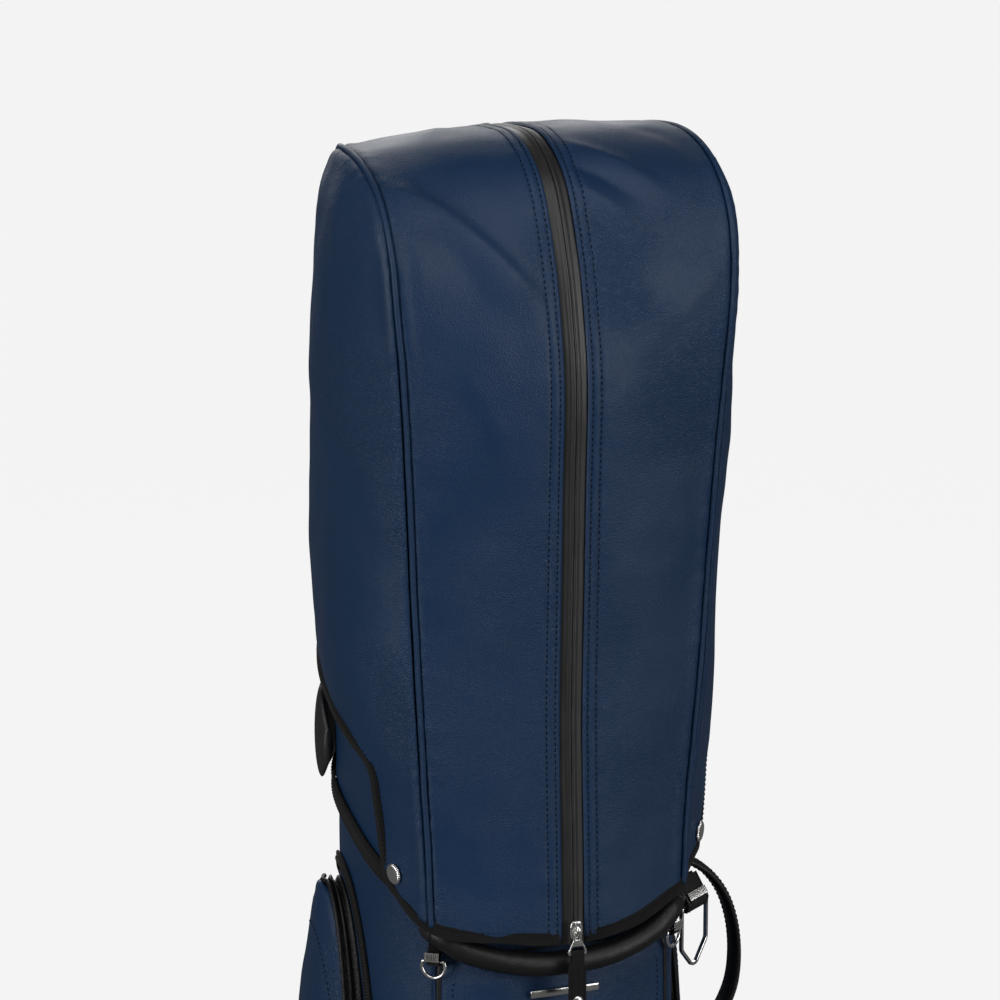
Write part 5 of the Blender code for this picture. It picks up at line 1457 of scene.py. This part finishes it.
def rear_handle():
    """Moulded grip round the back of the cuff, ribbed in its middle."""
    # Angle, height, distance from the cuff, height of the section and its depth, up to the middle.
    rows = np.array([
        (22, 0.806, 0.0055, 0.022, 0.006), (30, 0.808, 0.0092, 0.058, 0.009),
        (42, 0.812, 0.0112, 0.062, 0.012), (55, 0.821, 0.0165, 0.046, 0.014),
        (70, 0.828, 0.0250, 0.030, 0.016), (90, 0.828, 0.0290, 0.026, 0.018)])
    other = rows[-2::-1] * (-1, 1, 1, 1, 1) + (180, 0, 0, 0, 0)
    at = np.linspace(0, 2 * (len(rows) - 1), 150)
    degrees, z, out, height, depth = spline(np.concatenate([rows, other]), at).T
    angle = np.radians(degrees)
    normals = oval_normal(angle, CUFF_X, CUFF_Y)
    centre = on_cuff(angle, z, out)
    grip = bell((degrees - 90) / 30, 1.0)
    ribs = 1 - 0.05 * grip * (np.cos(at * 2 * math.pi * 6) > 0.55)
    sizes = np.stack([depth, height], -1) * ribs[:, None]
    section = round_section(0.5, 32)[None] * sizes[:, None]
    sweep("rear_grip", centre, normals, np.broadcast_to(Z, normals.shape), section, "moulded_black", "bag",
          ["rear_handle"])


def grab_handle():
    """Strap of two leather layers over a core, with a piped edge along both sides."""
    path = np.array([
        (0.1030, 0.7290), (0.1120, 0.7280), (0.1260, 0.7180), (0.1380, 0.7000), (0.1445, 0.6780),
        (0.1460, 0.6560), (0.1430, 0.6340), (0.1330, 0.6160), (0.1180, 0.6060), (0.1030, 0.6040)])
    line = resample(np.stack([path[:, 0], np.full(len(path), GRAB_Y), path[:, 1]], 1), 0.0012)
    across, normals = faced(line, (0, 1, 0))
    line = line + normals * (0.0002 * ripple(line, 0.03, 111))[:, None]
    sweep("grab_strap", line, across, normals, soft_box(0.0165, 0.0056, 2.6, 32), "black_leather",
          "side_grab_handle", ["side_grab_handle"])
    rows = []
    for sign in (-1, 1):
        edge = line + across * sign * 0.0078
        word = "front" if sign < 0 else "rear"
        cord(f"grab_piping_{word}", edge, 0.0016, "black_leather", "side_grab_handle", sides=12)
        for face in (-1, 1):
            rows.append((line + across * sign * 0.0052 + normals * face * 0.00245, normals * face))
    stitches("grab_stitch", rows, "black_thread", "side_grab_handle", **STRAP_STITCH)


def ribbed_clamp(name, centre, along, normal, width, height, stands_for):
    """Metal clamp plate with deep rounded ribs across its face; black rods laid in its grooves are painted
    shade.
    """
    pitch = 0.0013
    count = int(width / pitch)
    y = np.linspace(-0.5, 0.5, count * 10 + 1)
    face = 0.00015 + 0.00060 * np.abs(np.sin(y * math.pi * count)) ** 0.7
    front = np.stack([y * width, face], 1)
    section = np.concatenate([front, [(0.5 * width, -0.0006), (-0.5 * width, -0.0006)]])
    up = unit(np.cross(normal, along))
    line = centre + up * np.linspace(-height / 2, height / 2, 9)[:, None]
    shrink = 1 - 0.10 * np.abs(np.linspace(-1, 1, 9)) ** 6
    sections = section[None] * np.stack([np.ones(9), shrink], 1)[:, None]
    sweep(name, line, np.broadcast_to(along, line.shape), np.broadcast_to(normal, line.shape), sections,
          "silver_metal", "bag", stands_for, sharp=50)
    # The moulded_black rods laid along the grooves below are painted shade: a dark fill that stands in for
    # the shade in the grooves between the ribs.
    groove_shade = (np.arange(-(count // 2), count // 2 + 1)) * width / count
    rows = []
    for at in groove_shade[1:-1]:
        start = centre + along * at - up * height * 0.46 + normal * 0.00016
        path = start + up * np.linspace(0, height * 0.92, 6)[:, None]
        rows.append((path, np.broadcast_to(normal, path.shape)))
    stitches(name + "_grooves", rows, "moulded_black", "bag", pitch=height * 0.90, length=height * 0.88,
             radius=0.00026)


def under_bar(radius):
    """The half turn of a folded tab's path round a ring's bar."""
    return [(-radius * math.cos(a), -radius * math.sin(a)) for a in np.linspace(0, math.pi, 7)]


def folded_tab(name, path, axle, normal, along, width, thickness, finish, stands_for):
    """Strip folded over a ring, from (out, up) pairs measured from the ring's axle."""
    path = resample(np.array(path), 0.0006)
    line = axle + normal * path[:, :1] + Z * path[:, 1:]
    across, faces = faced(line, along)
    sweep(name, line, across, faces, soft_box(width, thickness, 4.0, 20), finish, "bag", stands_for)
    return line, faces


def d_ring(side, word):
    """Wire ring with its folded tab and clamp."""
    angle = math.radians(RING_ANGLE if side > 0 else 180 - RING_ANGLE)
    normal = oval_normal(np.asarray(angle))
    along = unit(np.cross(Z, normal))
    axle = on_wall(angle, RING_Z, RING_OUT)
    radius = 0.0078
    half_bar = radius - 0.0006
    loop = [axle + along * x for x in np.linspace(-half_bar, half_bar, 14)]
    for turn in np.linspace(0, math.pi, 44):
        loop.append(axle + along * (radius * math.cos(turn)) - Z * (0.0030 + 1.05 * radius * math.sin(turn)))
    cord(f"ring_{word}", resample(loop, 0.0006, smooth=False, closed=True), 0.0011, "silver_metal",
         f"d_ring_{word}", [f"d_ring_{word}"], closed=True, up=tuple(normal))
    fold = 0.0024
    path = [(-0.0085, 0.0088), (-0.0060, 0.0058), (-fold, 0.0028), *under_bar(fold),
            (fold, 0.0028), (-0.0020, 0.0072), (-0.0045, 0.0104)]
    folded_tab(f"ring_tab_{word}", path, axle, normal, along, 0.0086, 0.0012, "black_webbing",
               [f"d_ring_tab_{word}"])
    clamp_at = on_wall(angle, RING_Z + 0.0042, RING_OUT + 0.0042)
    ribbed_clamp(f"ring_clamp_{word}", clamp_at, along, normal, 0.0096, 0.0060, [f"d_ring_clamp_{word}"])


def towel_ring():
    """Flat five-sided ring, turned a little towards the front, with its tab and clamp."""
    angle = math.radians(TOWEL_ANGLE)
    wall_normal = oval_normal(np.asarray(angle))
    c, s = math.cos(math.radians(TOWEL_TURN)), math.sin(math.radians(TOWEL_TURN))
    normal = np.array((c * wall_normal[0] - s * wall_normal[1], s * wall_normal[0] + c * wall_normal[1], 0.0))
    axle = on_wall(angle, TOWEL_Z, TOWEL_OUT)
    half_w, drop, tip = 0.0165, 0.0290, 0.0430
    bar, gauge = 0.0010, 0.0018
    outer = both_sides([(half_w, bar), (half_w, -drop), (0.0030, -tip)])
    inner = both_sides([(half_w - gauge, bar - gauge), (half_w - gauge, -drop + 0.0010),
                        (0.0024, -tip + 0.0021)])
    plate("towel_loop", [rounded(outer, 0.0022), rounded(inner, 0.0014)], 0.0030, place_at(axle, normal),
          "silver_metal", "towel_ring", ["towel_ring"], bevel=0.0005)
    along = unit(np.cross(Z, normal))
    fold = 0.0034
    path = [(-0.0090, 0.0170), (-0.0080, 0.0110), (-fold, 0.0030), *under_bar(fold),
            (fold, 0.0030), (-0.0010, 0.0095), (-0.0060, 0.0175)]
    line, faces = folded_tab("towel_tab", path, axle, normal, along, 0.0250, 0.0014, "black_leather",
                             ["towel_ring_tab"])
    if (faces[-10] * normal).sum() < 0:
        faces = -faces
    slope = unit(Z * 0.0065 - normal * 0.0044)
    face = np.cross(along, slope)
    if (face * normal).sum() < 0:
        face = -face
    centre = axle + normal * 0.0012 + Z * 0.0062 + face * 0.0019
    ribbed_clamp("towel_clamp", centre, along, face, 0.0220, 0.0052, ["towel_ring_clamp"])
    stitches("towel_tab_stitch", [(line + along * s * 0.0105 + faces * 0.0007, faces) for s in (-1, 1)],
             "black_thread", "bag", pitch=0.0030, length=0.0021, radius=0.00026)


def name_bar():
    """Plain curved metal bar on the front pocket."""
    angle = np.radians(np.linspace(-103.5, -76.5, 70))
    normals = oval_normal(angle)
    line = on_wall(angle, NAME_BAR_Z, 0.0112)
    sweep("badge_bar", line, np.broadcast_to(Z, line.shape), normals, soft_box(0.0050, 0.0012, 4.0, 20),
          "silver_metal", "bag", ["name_bar"])


def zip_pull():
    """Slider with its hooked bridge, A-shaped puller and riveted webbing tab."""
    front = (0, -1, 0)
    outline = both_sides([(0.0030, 0.0064), (0.0043, 0.0030), (0.0043, -0.0030), (0.0030, -0.0064)])
    plate("slider_body", [rounded(outline, 0.0016)], 0.0026, place_at((0, PULL_Y - 0.0013, PULL_Z), front),
          "silver_metal", "zip_slider", ["zip_slider"], bevel=0.0007)
    turn = np.linspace(0, math.pi, 14)
    arc = np.stack([0.0020 + 0.0046 * np.sin(turn), 0.0010 + 0.0038 * np.cos(turn)], 1)
    arch = [(0.0014, 0.0048), *arc, (0.0014, -0.0028)]
    line = resample(np.array([(0, PULL_Y - out, PULL_Z + up) for out, up in arch]), 0.0003)
    sweep("slider_bridge", line, *faced(line, (1, 0, 0)), soft_box(0.0024, 0.0014, 3.0, 18),
          "silver_metal", "zip_slider")
    puller_at = np.array((0, PULL_Y - 0.0042, PULL_Z - 0.0002))
    edge = both_sides([(0.0026, 0.0007), (0.0030, -0.0060), (0.0064, -0.0128), (0.0064, -0.0155)])
    bridge_window = both_sides([(0.0014, -0.0007), (0.0014, -0.0052)])
    tab_window = both_sides([(0.0036, -0.0098), (0.0045, -0.0124), (0.0045, -0.0141)])
    outlines = [rounded(edge, 0.0012), rounded(bridge_window, 0.0006), rounded(tab_window, 0.0006)]
    plate("puller_frame", outlines, 0.0012, place_at(puller_at, front), "silver_metal", "zip_puller",
          ["zip_puller"], bevel=0.0004)
    pivot = puller_at + np.array((0, 0, -0.0148))
    length, loop_r = 0.0400, 0.0017
    path = [(0.0007, -length), (0.0007, -0.0120), (0.0008, -0.0070), (0.0016, -0.0018)]
    path += [(loop_r * math.cos(a), loop_r * math.sin(a)) for a in np.linspace(0, math.pi, 7)]
    path += [(-y, up) for y, up in path[3::-1]]
    flat = resample(np.array(path), 0.0006)
    line = pivot + np.stack([flat[:, 0] * 0, flat[:, 0], flat[:, 1]], 1)
    width = 0.0084 + 0.0034 * smooth_step(-flat[:, 1], 0.0055, 0.0085)
    section = soft_box(1.0, 0.0009, 4.0, 22)
    sections = section[None] * np.stack([width, np.ones(len(width))], 1)[:, None]
    sweep("tab_webbing", line, *faced(line, (1, 0, 0)), sections, "black_webbing", "pull_tab", ["pull_tab"])
    shown = line[(line[:, 1] < pivot[1]) & (line[:, 2] < pivot[2] - 0.009)]
    face = np.broadcast_to(np.array(front, float), shown.shape)
    rows = [(shown + np.array((x, -0.00046, 0)), face) for x in (-0.0044, 0.0, 0.0044)]
    stitches("tab_stitch", rows, "black_thread", "pull_tab", pitch=0.0026, length=0.0018, radius=0.00024)
    rivet_at = pivot + np.array((0, -0.00145, -0.0320))
    dome = [(0.0, 0.0016), (0.0009, 0.00157), (0.0018, 0.00143), (0.0026, 0.00115), (0.0032, 0.00075),
            (0.0036, 0.0004), (0.0036, 0.0), (0.0, 0.0)]
    turned("tab_rivet", dome, place_at(rivet_at, front), "silver_metal", "pull_tab", ["pull_tab_rivet"])


def build_bag():
    tube_and_cuff()
    divider()
    base()
    pockets()
    lift_handle()
    rear_handle()
    grab_handle()
    for side, word in SIDES:
        d_ring(side, word)
    towel_ring()
    name_bar()
    zip_pull()
    polish("zip_top_stop", 0.0003)
    for word in ("left", "right", "rear"):
        polish(f"snap_stud_{word}", 0.0003)


build_bag()

# Every frame piece that still shows gets its slot's finish.
SLOTS = {row["node"]: row["material_slot"] for row in frame["record"]["subparts"]}
for node_name, node_object in frame["nodes"].items():
    node_object.data.materials.clear()
    node_object.data.materials.append(FINISH[SLOTS[node_name]])
